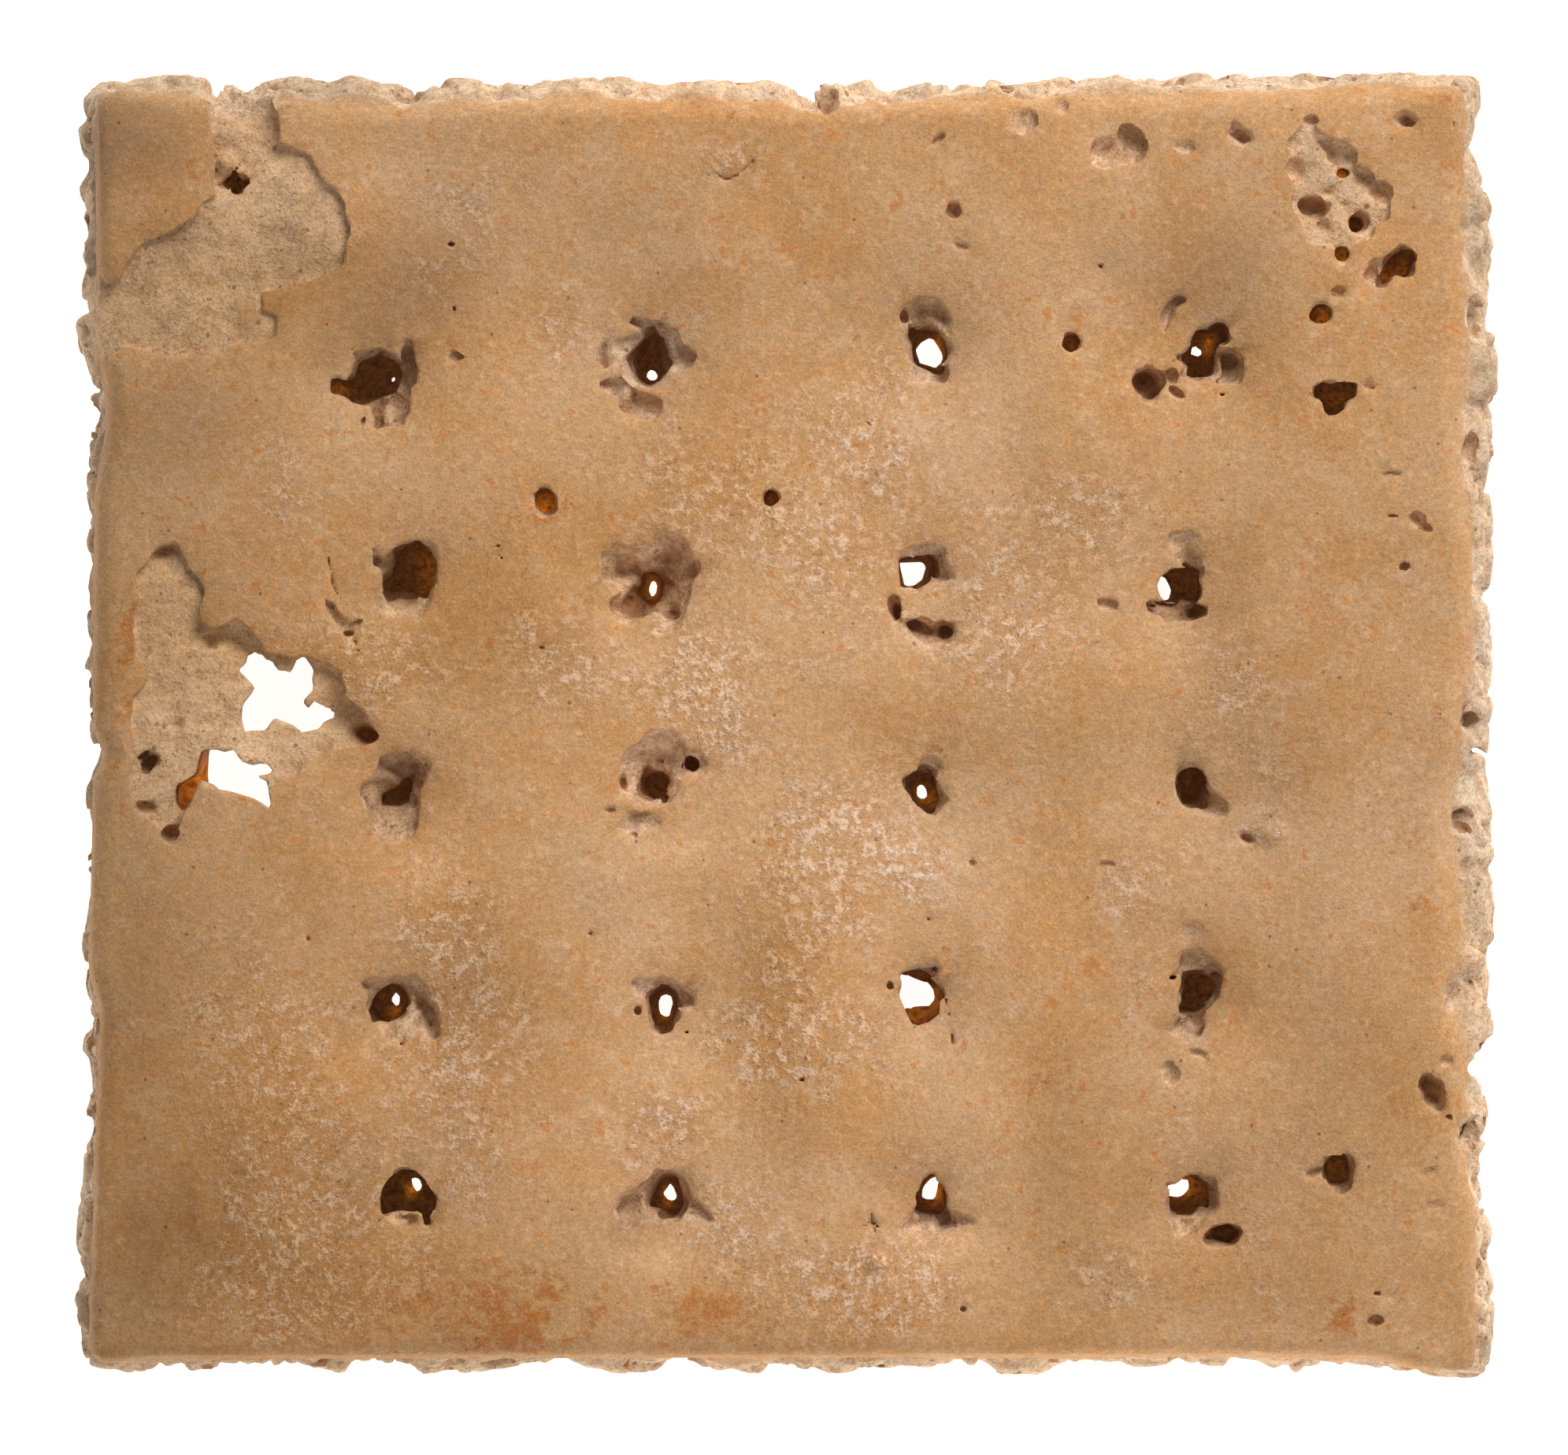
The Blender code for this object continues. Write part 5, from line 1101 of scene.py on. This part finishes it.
# lighter and darker areas: partly the crust's own tone, partly painted light and shade on slopes, beside
# holes and along edges facing towards or away from the lamps
TONES_LIGHT_AND_SHADE = (
    (-29, 22, 9, 5, -0.22), (-31, 6, 6, 4, -0.2), (-35, 0, 3, 1.5, 0.15), (-17.5, 4.5, 6, 3.2, -0.28),
    (-38, -8, 5, 26, -0.45), (-31, -12, 6, 6, -0.2), (-35.5, -30, 7, 7, -0.5),
    (-38.5, -27.5, 1.5, 3, 0.25), (-25, -24, 3, 3, -0.12), (-24, -31, 6, 4, -0.3),
    (-15, 29, 12, 5, -0.18), (-36.5, 32, 4, 5, -0.42), (-20, 33, 3, 2.5, -0.12),
    (38.5, -34.5, 2, 2, -0.25), (-33, 30.5, 2.5, 4, -0.12), (-30, 26, 4, 2, -0.12), (-35, 15, 4, 4, -0.2),
    (-36, -17, 3, 5, -0.18), (-26, -22, 4, 3, -0.12), (-14, -31, 7, 3, -0.18), (8, 15.5, 5, 7, 0.14),
    (13, 24, 4, 6, 0.14), (8, -11.5, 5, 2.5, 0.28), (8, -21, 5, 3, 0.2), (8, -17.8, 1.6, 1, 0.15),
    (9, -28.8, 2, 1, 0.3), (12.5, -20, 2, 4, 0.15), (3, -26, 2.5, 2, 0.2), (-8, -12.5, 4, 2.5, 0.32),
    (-6, -22.5, 5, 5, 0.34), (-6.5, -29.5, 3, 1.2, 0.25), (14, -13, 3, 6, 0.28, 20), (26, -18, 2, 4, 0.2),
    (14, 5, 6, 3, 0.28, 10), (25, -8, 6, 2.5, 0.14), (33.5, -12, 2.5, 5, 0.22),
    (-0.5, -13.5, 2.2, 3.5, -0.12), (15.5, -1, 3, 3.5, -0.12), (28, -1, 4, 4, -0.2),
    (14, 12, 1.5, 5, -0.12), (30, -20, 6, 8, -0.24), (23, -20, 3, 3, 0.2), (24, 24, 5, 4, -0.22),
    (1, 12, 6, 8, 0.28), (-4, 0, 7, 6, 0.36), (-14.5, -3, 3, 4, 0.14), (-5, -7, 3, 1.5, 0.2, -20),
    (5, -7, 6, 4, 0.3), (3, -16, 3, 5, 0.24), (-15.5, 18, 4, 4, 0.18), (-17, -13, 1.5, 4, -0.25),
    (36, 3, 4, 2.5, 0.18), (24.5, 6.5, 1.8, 2.5, -0.28), (25.4, -14.8, 1.2, 1.5, -0.3),
    (-23.7, -15.5, 1.2, 1.5, -0.3), (-22.9, 8.2, 1.2, 1.5, -0.25), (-10.4, 8, 1, 1.5, -0.2),
    (30, 33.5, 4, 1.5, 0.32), (33, 26, 2.5, 4, 0.22), (-30, -2, 3, 1.2, 0.12), (19, 18, 4, 4, 0.12),
    (7, 31, 6, 2, 0.05), (7, 23.5, 4.5, 3, -0.28), (-23, 28.5, 2, 2.5, 0.35),
    (-28.5, 32.5, 1.5, 1.2, 0.25), (-22.5, 22.5, 3, 2, -0.2), (-23.5, -25.5, 1.5, 2.5, -0.25),
    (7, -30.5, 6, 3, 0.25), (22, -34.8, 16, 1.2, 0.42), (-7.3, 5.9, 1.3, 0.8, -0.3),
    (-7, -0.7, 1.6, 0.9, 0.25), (-25, 20.3, 1, 1.5, -0.25), (7.4, -4.6, 1.6, 1, -0.2),
    (-9, -27.8, 1.2, 0.9, -0.2), (8, -6.8, 2.5, 1.3, 0.14), (-20.5, -7.5, 2, 1.2, 0.2),
    (-7, -7, 2, 1.2, 0.16), (8, 24.3, 2.2, 1.2, 0.2), (22.3, 11.6, 2, 1, 0.25), (-7, 32.4, 2, 1.5, 0.25),
    (-2, 27.6, 1.8, 1.6, 0.22), (30.6, 17, 2.5, 1.2, 0.14), (-6.8, -18.4, 2, 1, 0.12),
    (-6.3, -23.2, 1.5, 1, 0.15), (12, -25.2, 1.5, 2, 0.15), (-34, 28.6, 2, 1.2, 0.2, 20),
    (-16, -22.5, 5, 3.5, 0.12), (7.8, -13, 1.5, 1, 0.2), (0, 36.8, 45, 1.8, -0.12),
    (-24, 35.8, 8, 1.8, -0.35), (30, 36.5, 8, 1.8, -0.2), (-35, 26, 2.5, 1.5, -0.3, 20),
    (-26.5, 25.5, 2.5, 1.2, -0.25, 10), (-32, 18, 4, 4, -0.16), (38.5, 32, 2, 5, -0.28),
    (-39, 27, 0.9, 9, 0.12), (-32, -26.5, 3, 4, -0.15), (-22.2, -5, 1.2, 0.9, -0.2),
    (38.9, 18, 1.2, 10, -0.15), (-39.2, -18, 1.7, 13, 0.6), (0, -36.6, 45, 1.1, 0.48),
    (22, -31.5, 14, 3, -0.16), (15.5, -23, 3, 6, -0.14), (19, -26, 2, 2, -0.15), (-19, 24, 2.5, 2, -0.2),
    (15.8, 22.5, 2, 4, 0.18), (12, 11, 2, 4, 0.15), (20, 3, 3, 2, 0.14), (0.5, 1.5, 4, 4, -0.14),
    (-6.3, -0.6, 1.5, 1.2, 0.3), (-5, 10, 2, 1.5, 0.18), (-31, 8, 2, 2, -0.12),
    (20, -26.5, 1.5, 1.5, -0.12), (-38.5, 22, 1.5, 4, 0.08), (-26, -4.5, 3, 1.5, -0.15),
    (-18, -8, 4, 3, 0.15), (-17.5, -33.5, 4, 1.3, -0.2), (-6.5, 9.6, 3.2, 1, 0.34),
    (-3.5, -33.5, 3.5, 1.5, -0.12), (36.5, -26, 1.2, 5, 0.1), (-22.5, -16.6, 1.8, 1.2, -0.2),
    (-21.8, -5.7, 1.5, 1, -0.25), (-6.8, -4.9, 2, 0.9, -0.25), (21.8, -15.9, 1.5, 1.2, -0.25),
    (-8.2, -27.6, 2, 0.8, -0.25), (8, -23.3, 3.5, 1.2, 0.14), (-17.5, -35.3, 5, 0.8, -0.2),
    (-24.9, -0.7, 1.6, 0.9, -0.35), (-31.2, 32.5, 0.9, 2, -0.2), (-26, 35.3, 2.5, 1, -0.25),
    (38.6, 26.5, 1, 1.6, -0.25), (38.8, 20, 1, 3, -0.18), (-1, -28.5, 2.5, 3.5, 0.1),
    (-10, -15, 1.2, 5, 0.12), (38.6, -8.5, 0.8, 1.5, -0.2), (-21, -19.5, 4, 3, 0.14),
    (17.5, 32.5, 3, 1.5, 0.3), (26, 33.5, 5, 1.5, 0.2), (38, 0, 1.5, 2, -0.15), (33, 4, 3, 3, 0.12),
)
# yellower and greyer areas
WARMTHS = (
    (-30, 23.5, 8, 4, 0.25), (-33, 6, 5, 4, 0.25), (-22, 4, 8, 3, 0.4), (-13, 8, 5, 5, 0.3, 30),
    (-5, 13.5, 4, 2.5, 0.3, -15), (-0.5, -12, 3, 6, 0.45, 10), (-3.5, -19, 2, 2, 0.2),
    (15, 14, 2.5, 6, 0.2), (15, 0, 2.2, 5, 0.35), (15, -24, 3, 8, 0.4), (31, -1, 3, 3, 0.3),
    (25, -12.5, 5, 2, 0.2), (23, -30, 3, 1.5, 0.3), (5, -20, 2, 1.5, 0.3), (9, 1.5, 3, 1.2, 0.15),
    (-28, -22, 5, 8, 0.4, -20), (-22, -31, 9, 3, 0.5), (-3, -32, 4, 2, 0.4), (33, -22, 5, 5, 0.2),
    (-17, -12, 4, 4, 0.25), (-33, -16, 5, 6, 0.2), (38, -12, 2, 4, 0.2), (8.5, 16, 3.5, 6, -0.4),
    (-8, 21, 5, 4, -0.3), (8, -6, 4.5, 5, -0.3), (8, -16, 4, 4, -0.35), (-9, -12, 4, 8, -0.3),
    (6, -26, 6, 3, -0.35), (27, 33, 6, 3, -0.35), (20, -17, 4, 7, -0.2, 20), (-20, 29, 4, 3, -0.3),
    (17.5, 25, 4, 3, -0.25), (35, 5, 4, 4, -0.3), (18, 6, 3, 3, -0.2), (25, -6, 6, 3, -0.2),
    (-27, 13, 6, 3, -0.2), (-8, -28, 5, 2, -0.2), (34, -2, 6, 10, -0.25), (0, -36.6, 45, 1.1, 0.3),
)
print(sum(map(len, (TOAST_AND_SHADE, FLOUR, STAINS_AND_SHADE, EMBERS, TONES_LIGHT_AND_SHADE, WARMTHS))), "mounds of colour")

# %% [markdown]
# The crumb shows where the surface lies well under the unbroken skin, where a side is crumbly,
# and on the floors of the flakes. Each of those is a field on the lattice already, so it is read
# back at every vertex. Deep in a hole less light comes in, so shade is painted into the tone
# there, and the open crumb of pits and holes outside the flakes is painted a little lighter
# where it is shallow.

# %% Attributes on the mesh
OPENED, WITHIN = (0.08, 0.35), (0.4, 1.6)
FLAKE_RIM, FLAKE_SKIN = (-0.1, 0.15), (0.12, 0.3)
UNDER_LIP, UNDER_LIP_DEEP = (0.9, 2.8), (2.5, 6.0)
LIP_SHADE, DEEP_SHADE, PIT_CRUMB_LIGHT = 0.45, 0.18, 0.1
RIGHT_EDGE, LEFT_EDGE, BACK_EDGE, FRONT_EDGE = (35.5, 36.8), (36.0, 37.0), (33.5, 34.3), (34.0, 34.8)
NOT_AT_FOOT, TOAST_AND_SHADE_FADE = (-10.5, -8.5), (0.0, 2.0)

places = np.zeros(len(biscuit.data.vertices) * 3, np.float32)
biscuit.data.vertices.foreach_get("co", places)
places = places.reshape(-1, 3) / MM


def read(field, places, origin):
    """Field values at places, blended from the nearest lattice points along every axis."""
    t = (places - np.array(origin, np.float32)) / STEP
    base = np.clip(np.floor(t).astype(int), 0, np.array(field.shape) - 2)
    f = t - base
    total = np.zeros(len(places), np.float32)
    for corner in np.ndindex(*(2,) * field.ndim):
        weight = np.prod(np.where(corner, f, 1 - f), axis=1)
        total += weight * field[tuple((base + corner).T)]
    return total


def set_attribute(obj, name, values):
    """Stores one number for each vertex."""
    attribute = obj.data.attributes.new(name, "FLOAT", "POINT")
    attribute.data.foreach_set("value", np.clip(values, -1, 1).astype(np.float32))


vx, vy, vz = places.T
under_skin = -read(skin, places, (X[0], Y[0], Z[0]))
under_top = read(top, places[:, :2], (X[0], Y[0])) - vz
side_crumb = np.maximum.reduce([
    read(right_crumbly, places[:, 1:], (Y[0], Z[0])) * ease(vx, *RIGHT_EDGE),
    read(left_crumbly, places[:, 1:], (Y[0], Z[0])) * ease(-vx, *LEFT_EDGE),
    read(back_crumbly, places[:, ::2], (X[0], Z[0])) * ease(vy, *BACK_EDGE),
    read(front_crumbly, places[:, ::2], (X[0], Z[0])) * ease(-vy, *FRONT_EDGE),
])
opened = ease(under_skin, *OPENED)
flaked = sum(ease(-read(flake, places[:, :2], (X[0], Y[0])), *FLAKE_RIM) for flake in flakes)
flaked *= ease(under_top, *FLAKE_SKIN)
crumb = np.maximum.reduce([opened, side_crumb, flaked])
within = ease(under_skin, *WITHIN)
# painted shade deeper in the holes, and painted light on shallow open crumb outside the flakes and sides
shade = LIP_SHADE * ease(under_top, *UNDER_LIP) + DEEP_SHADE * ease(under_top, *UNDER_LIP_DEEP)
shade -= PIT_CRUMB_LIGHT * (1 - flaked)
# glow is painted light, and the toast, stain and tone marks hold painted shade and light besides real
# colour
set_attribute(biscuit, "crumb", crumb)
set_attribute(biscuit, "depth", opened * within * under_top / THICKNESS)
set_attribute(biscuit, "glow", within * mounds(EMBERS, vx, vy) * ease(-vz, *NOT_AT_FOOT))
set_attribute(biscuit, "flaked", flaked)
set_attribute(biscuit, "toast_and_shade", mounds(TOAST_AND_SHADE, vx, vy) * ease(vz, *TOAST_AND_SHADE_FADE))
set_attribute(biscuit, "flour", mounds(FLOUR, vx, vy) * (1 - crumb))
set_attribute(biscuit, "stain_and_shade", mounds(STAINS_AND_SHADE, vx, vy))
set_attribute(biscuit, "tone_light_and_shade", mounds(TONES_LIGHT_AND_SHADE, vx, vy) - opened * (1 - side_crumb) * shade)
set_attribute(biscuit, "warmth", mounds(WARMTHS, vx, vy))
set_attribute(biscuit, "side", side_crumb)
print(f"crumb at {(crumb > 0.5).mean():.0%} of the vertices")

# %% [markdown]
# ## Writing a material as sums
#
# A shader is arithmetic on colours and masks, but drawn as nodes it is hard to read. A wrapped
# node socket that knows +, - and * lets it be written as the sums that it is.

# %% Shader arithmetic


class Wire:
    """A node's output that can be calculated with: each operation adds its Math node."""

    def __init__(self, finish, socket):
        self.finish, self.socket = finish, socket

    def math(self, operation, other):
        """Adds a Math node whose inputs are this wire and another wire or number."""
        return self.finish.node("ShaderNodeMath", {"operation": operation}, {0: self, 1: other})

    def __add__(self, other):
        return self.math("ADD", other)

    def __sub__(self, other):
        return self.math("SUBTRACT", other)

    def __mul__(self, other):
        return self.math("MULTIPLY", other)

    __radd__, __rmul__ = __add__, __mul__

    def step(self, low, high):
        """0 below low, 1 above high, smooth between; falls instead where low is above high."""
        settings = {"interpolation_type": "SMOOTHSTEP"}
        start, end = (0.0, 1.0) if low < high else (1.0, 0.0)
        values = {"Value": self, "From Min": min(low, high), "From Max": max(low, high),
                  "To Min": start, "To Max": end}
        return self.finish.node("ShaderNodeMapRange", settings, values)


class Finish:
    """A material and the one method that adds nodes to it."""

    def __init__(self, name):
        self.material = bpy.data.materials.new(name)
        self.material.use_nodes = True
        self.tree = self.material.node_tree
        self.shader = self.tree.nodes["Principled BSDF"]

    def node(self, kind, settings=None, values=None, output=0):
        """Adds a node, makes its settings, fills or links its sockets, and wraps an output."""
        node = self.tree.nodes.new(kind)
        for key, value in (settings or {}).items():
            setattr(node, key, value)
        self.fill(node, values or {})
        return Wire(self, node.outputs[output])

    def fill(self, node, values):
        """Links a socket where its value is a wire, and sets it where it is a number or colour."""
        for key, value in values.items():
            if isinstance(value, Wire):
                self.tree.links.new(value.socket, node.inputs[key])
            else:
                node.inputs[key].default_value = value

    def attribute(self, name):
        """The number that each vertex has under a name."""
        return self.node("ShaderNodeAttribute", {"attribute_name": name}, output=2)

    def noise(self, place, size, detail, rough, warp=0.0):
        """Smooth noise between 0 and 1, with lumps of a size in millimetres."""
        values = {"Vector": place, "Scale": 1 / (size * MM), "Detail": detail, "Roughness": rough,
                  "Distortion": warp}
        return self.node("ShaderNodeTexNoise", {}, values)

    def mix(self, share, first, second):
        """The first colour where share is 0 and the second where it is 1."""
        settings = {"data_type": "RGBA", "clamp_factor": True}
        return self.node("ShaderNodeMix", settings, {0: share, 6: first, 7: second}, output=2)

    def shaded(self, colour, amount):
        """A colour times a number, by a vector scale."""
        return self.node("ShaderNodeVectorMath", {"operation": "SCALE"}, {0: colour, "Scale": amount})


def srgb(red, green, blue):
    """A colour from its everyday 0-255 values, made linear."""
    shares = [c / 255 for c in (red, green, blue)]
    linear = [s / 12.92 if s <= 0.04 else ((s + 0.055) / 1.055) ** 2.4 for s in shares]
    return (*linear, 1.0)


print(f"an everyday grey of 128 is {srgb(128, 128, 128)[0]:.2f} of white in linear light")

# %% [markdown]
# ## Crust and crumb
#
# The crust is flour baked tan. It is mottled at every scale: broad warm and cool areas, a fine
# grain like sandpaper, soft orange freckles and whitish crinkled patches. Noises of nine sizes
# carry that, from broad patches down to a grain that the mesh is too coarse for. All of them
# read object coordinates, so a pattern runs from the top into a hole without a seam.

# %% What the material reads: noises, then attributes
crust = Finish("baked_crust")
place = crust.node("ShaderNodeTexCoord", output=3)

broad = crust.noise(place, 9, 2.0, 0.55)
mottle = crust.noise(place, 1.8, 3.0, 0.7)
grain = crust.noise(place, 0.42, 3.0, 0.75)
fine = crust.noise(place, 0.14, 1.0, 0.6)
freckle = crust.noise(place, 0.75, 1.0, 0.5)
blotch = crust.noise(place, 0.85, 4.0, 0.9)
crinkle = crust.noise(place, 0.35, 2.0, 0.7)
clumps = crust.noise(place, 2.6, 2.0, 0.65, 0.6)
speckle = crust.noise(place, 0.38, 2.0, 0.7)

flour = crust.attribute("flour")
# the toast, stain and tone attributes also hold painted shade and light, and glow is painted light
toast_and_shade = crust.attribute("toast_and_shade")
stain_and_shade = crust.attribute("stain_and_shade")
tone_light_and_shade = crust.attribute("tone_light_and_shade")
warmth = crust.attribute("warmth")
crumb_share = crust.attribute("crumb")
side_share = crust.attribute("side")
depth = crust.attribute("depth")
glow = crust.attribute("glow")
flaked = crust.attribute("flaked")
print(len(crust.tree.nodes), "nodes read the surface")

# %% [markdown]
# A colour is built up in the order in which it came about: the dough, its mottling and grain,
# freckles, toasted spots from the oven's floor, old damp stains, and last the dry flour, which
# lies on all the others and has cracked into crinkles. The toast and stain marks also paint a
# shadow line and shade, and the creases of the flour are painted dark as shade. Each step mixes
# one colour in by a mask, and a mask is a noise with a step in it, so that its patches have edges.

# %% Colour of the crust
TAN, PALE, WARM = srgb(203, 158, 112), srgb(213, 174, 133), srgb(196, 145, 93)
LIGHT_GRAIN, FRECKLED, TOAST_AND_SHADE_BROWN = srgb(226, 194, 158), srgb(197, 122, 60), srgb(184, 110, 44)
STAIN_AND_SHADE_GREY, UNDER_FLOUR = srgb(140, 110, 86), srgb(186, 134, 86)
FLOURED, FLOUR_CREASE_SHADE = srgb(231, 200, 172), srgb(134, 88, 54)

colour = crust.mix(broad.step(0.35, 0.65), TAN, WARM)
colour = crust.mix(mottle.step(0.45, 0.7) * 0.45, colour, PALE)
colour = crust.mix(grain.step(0.56, 0.72) * 0.2, colour, LIGHT_GRAIN)
colour = crust.mix(freckle.step(0.63, 0.72) * mottle.step(0.4, 0.6) * 0.6, colour, FRECKLED)
# toasted spots, and a painted shadow line along the cliff of a flake
toast_and_shade_mask = (0.4 * mottle + 0.6 * blotch + 0.22 * toast_and_shade).step(0.55, 0.70) * toast_and_shade.step(0.02, 0.2)
colour = crust.mix(toast_and_shade_mask * 0.8, colour, TOAST_AND_SHADE_BROWN)
# damp stains, and painted shade in the valleys of the quilting
stain_and_shade_mask = stain_and_shade * (0.5 + mottle)
colour = crust.mix(stain_and_shade_mask * 0.5, colour, STAIN_AND_SHADE_GREY)
dusty = (flour * 0.7 + clumps - 0.3).step(0.22, 0.75)
flour_mask = dusty * (0.8 * blotch + 0.6 * grain).step(0.66, 0.82)
colour = crust.mix(dusty * 0.35, colour, UNDER_FLOUR)
colour = crust.mix(flour_mask * 0.62, colour, FLOURED)
# painted shade in the creases of the crinkled flour
colour = crust.mix(dusty * crinkle.step(0.42, 0.34) * 0.45, colour, FLOUR_CREASE_SHADE)
print("crust colour ends in", len(crust.tree.nodes), "nodes")

# %% [markdown]
# Under the crust the crumb is paler, greyer and duller. It has three looks: the floors of pits,
# the yellower floors of the flakes, and the palest, the torn sides. Its creases are painted dark
# as shade. Deep in a hole the crumb is painted brown as shade, and orange as glow where thin bread
# would let light through. Bran shows as dark specks, more of them where the crumb is bare. The
# cells of a Voronoi texture place them: a cell has a speck at its middle if its random number is
# high enough.

# %% Colour of the crumb, deep crumb and bran
PIT_DARK, PIT_LIGHT = srgb(180, 142, 108), srgb(218, 183, 145)
FLAKE_DARK, FLAKE_LIGHT = srgb(198, 156, 115), srgb(222, 184, 144)
SIDE_DARK, SIDE_LIGHT = srgb(206, 166, 128), srgb(232, 202, 164)
CRUMB_BROWN, CRUMB_CREASE_SHADE, CRUMB_STAIN_AND_SHADE = srgb(140, 92, 52), srgb(120, 80, 50), srgb(146, 122, 100)
DEEP_SHADE_BROWN, PAINTED_GLOW, BRAN = srgb(144, 86, 46), srgb(190, 100, 25), srgb(104, 66, 40)
BRAN_SPACING = 1.3

pit_floor = crust.mix(blotch.step(0.38, 0.62), PIT_DARK, PIT_LIGHT)
flake_floor = crust.mix(blotch.step(0.36, 0.60), FLAKE_DARK, FLAKE_LIGHT)
torn_side = crust.mix(blotch.step(0.38, 0.62), SIDE_DARK, SIDE_LIGHT)
crumb_colour = crust.mix(side_share, crust.mix(flaked, pit_floor, flake_floor), torn_side)
brown_mask = speckle.step(0.58, 0.70) * clumps.step(0.42, 0.58)
crumb_colour = crust.mix(brown_mask * 0.55, crumb_colour, CRUMB_BROWN)
# painted shade in the creases of the crumb
crumb_colour = crust.mix(crinkle.step(0.38, 0.30) * 0.55, crumb_colour, CRUMB_CREASE_SHADE)
# the stains and painted shade go over the crumb as well
crumb_colour = crust.mix(stain_and_shade_mask * 0.5, crumb_colour, CRUMB_STAIN_AND_SHADE)
colour = crust.mix(crumb_share, colour, crumb_colour)
# painted shade: the crumb turns brown deep in the holes
colour = crust.mix(depth.step(0.08, 0.28) * (0.5 + 0.7 * blotch), colour, DEEP_SHADE_BROWN)
# painted glow: orange where thin bread would let light through
colour = crust.mix(glow, colour, PAINTED_GLOW)

bran_cells = {"Vector": place, "Scale": 1 / (BRAN_SPACING * MM)}
from_middle = crust.node("ShaderNodeTexVoronoi", {}, bran_cells)
chance = crust.node("ShaderNodeTexVoronoi", {}, bran_cells, output=1)
chance = crust.node("ShaderNodeSeparateColor", {}, {0: chance})
speck = (from_middle - 0.04 * crumb_share).step(0.10, 0.05)
bran_mask = speck * (chance + 0.35 * crumb_share).step(0.5, 0.56)
colour = crust.mix(bran_mask * 0.6, colour, BRAN)
print("crumb and bran bring it to", len(crust.tree.nodes), "nodes")

# %% [markdown]
# Last, the whole colour is made lighter or darker by the finest grain and by the tone of the
# place, which also holds painted light and shade, and multiplied by a tint between cool and warm
# that makes the painted shade warmer. A little light of its own, a painted glow, stands for what
# comes through the bread from below. The grain, the flour and the crumb also make the surface
# rough by a bump, because they are finer than the mesh.

# %% Light, tint, glow and relief
COOL, WARMER = (0.95, 1.0, 1.14, 1.0), (1.07, 0.99, 0.82, 1.0)
DIM_EMBER, BRIGHT_EMBER = (0.050, 0.018, 0.005, 1.0), (0.46, 0.13, 0.009, 1.0)
ROUGHNESS, SHINE = 0.86, 0.25
BUMP_STRENGTH, BUMP_HEIGHT = 0.6, 0.13 * MM

light = 0.33 + 1.42 * (0.5 * grain + 0.5 * fine)
# the tone also paints light and shade, and the tint makes the painted shade warmer
colour = crust.shaded(colour, light * (1 + 0.69 * tone_light_and_shade))
warm_share = 0.1 + warmth + 0.8 * freckle - 0.3 * tone_light_and_shade - 0.25 * side_share
tint = crust.mix(warm_share, COOL, WARMER)
colour = crust.node("ShaderNodeVectorMath", {"operation": "MULTIPLY"}, {0: colour, 1: tint})
# painted glow: light of its own deep in the holes, strongest at the glow marks
ember = crust.mix(glow, DIM_EMBER, BRIGHT_EMBER)
ember = crust.shaded(ember, depth.step(0.12, 0.40) * (2.6 * speckle - 0.5))

relief = 0.8 * grain + 0.35 * fine + 0.45 * flour_mask + 0.6 * mottle
relief = relief + (1.2 * speckle + 1.5 * blotch) * crumb_share
bump_values = {"Strength": BUMP_STRENGTH, "Distance": BUMP_HEIGHT, "Height": relief}
bump = crust.node("ShaderNodeBump", {}, bump_values)
crust.fill(crust.shader, {"Base Color": colour, "Roughness": ROUGHNESS, "Specular IOR Level": SHINE,
                          "Emission Color": ember, "Emission Strength": 1.0, "Normal": bump})
biscuit.data.materials.clear()
biscuit.data.materials.append(crust.material)

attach(biscuit, "root")
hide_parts("hardtack")
print("material with", len(crust.tree.nodes), "nodes")

# %% [markdown]
# ## Floor, light and camera
#
# The hardtack lies on a bright pale floor that glows a little, like a light table, so that it
# casts next to no shadow. One soft lamp stands beyond the back right corner, which rakes over
# the quilting, a weak one fills in from the front, and the camera looks straight down.

# %% Stage
FLOOR_SIZE = 4.0
FLOOR_GLOW, SKY_GLOW = 0.9, 0.24
CAMERA_HEIGHT = 0.612
VIEW_WIDTH = 0.0866

square = np.array(((-1, -1, 0), (1, -1, 0), (1, 1, 0), (-1, 1, 0)), np.float32)
floor = mesh_object("floor", square * FLOOR_SIZE / MM / 2, np.array(((0, 1, 2, 3),)))
pale = Finish("pale_floor")
pale.fill(pale.shader, {"Base Color": (0.9, 0.9, 0.9, 1), "Roughness": 0.9,
                        "Emission Color": (1, 1, 1, 1), "Emission Strength": FLOOR_GLOW})
floor.data.materials.append(pale.material)
floor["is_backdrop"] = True

world = bpy.data.worlds.new("studio")
world.use_nodes = True
background = world.node_tree.nodes["Background"]
background.inputs["Color"].default_value = (1, 1, 1, 1)
background.inputs["Strength"].default_value = SKY_GLOW
bpy.context.scene.world = world


def soft_lamp(name, position, size, power):
    """A square area lamp that faces the middle of the slab."""
    lamp = bpy.data.lights.new(name, "AREA")
    lamp.size, lamp.energy = size, power
    obj = bpy.data.objects.new(name, lamp)
    obj.location = position
    obj.rotation_euler = (-Vector(position)).to_track_quat("-Z", "Y").to_euler()
    bpy.context.scene.collection.objects.link(obj)


soft_lamp("window", (0.28, 0.55, 0.50), 0.45, 5.8)
soft_lamp("fill", (0.10, -0.60, 0.20), 0.40, 1.1)

camera = bpy.data.objects.new("camera", bpy.data.cameras.new("camera"))
camera.location = (0, 0, CAMERA_HEIGHT)
camera.data.lens = camera.data.sensor_width * (CAMERA_HEIGHT - THICKNESS * MM) / VIEW_WIDTH
bpy.context.scene.collection.objects.link(camera)
bpy.context.scene.camera = camera
bpy.context.scene.view_settings.view_transform = "Standard"
print(f"camera {CAMERA_HEIGHT:.3f} m up with a {camera.data.lens:.0f} mm lens")

# %% Bounds of what is shown
low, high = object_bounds()
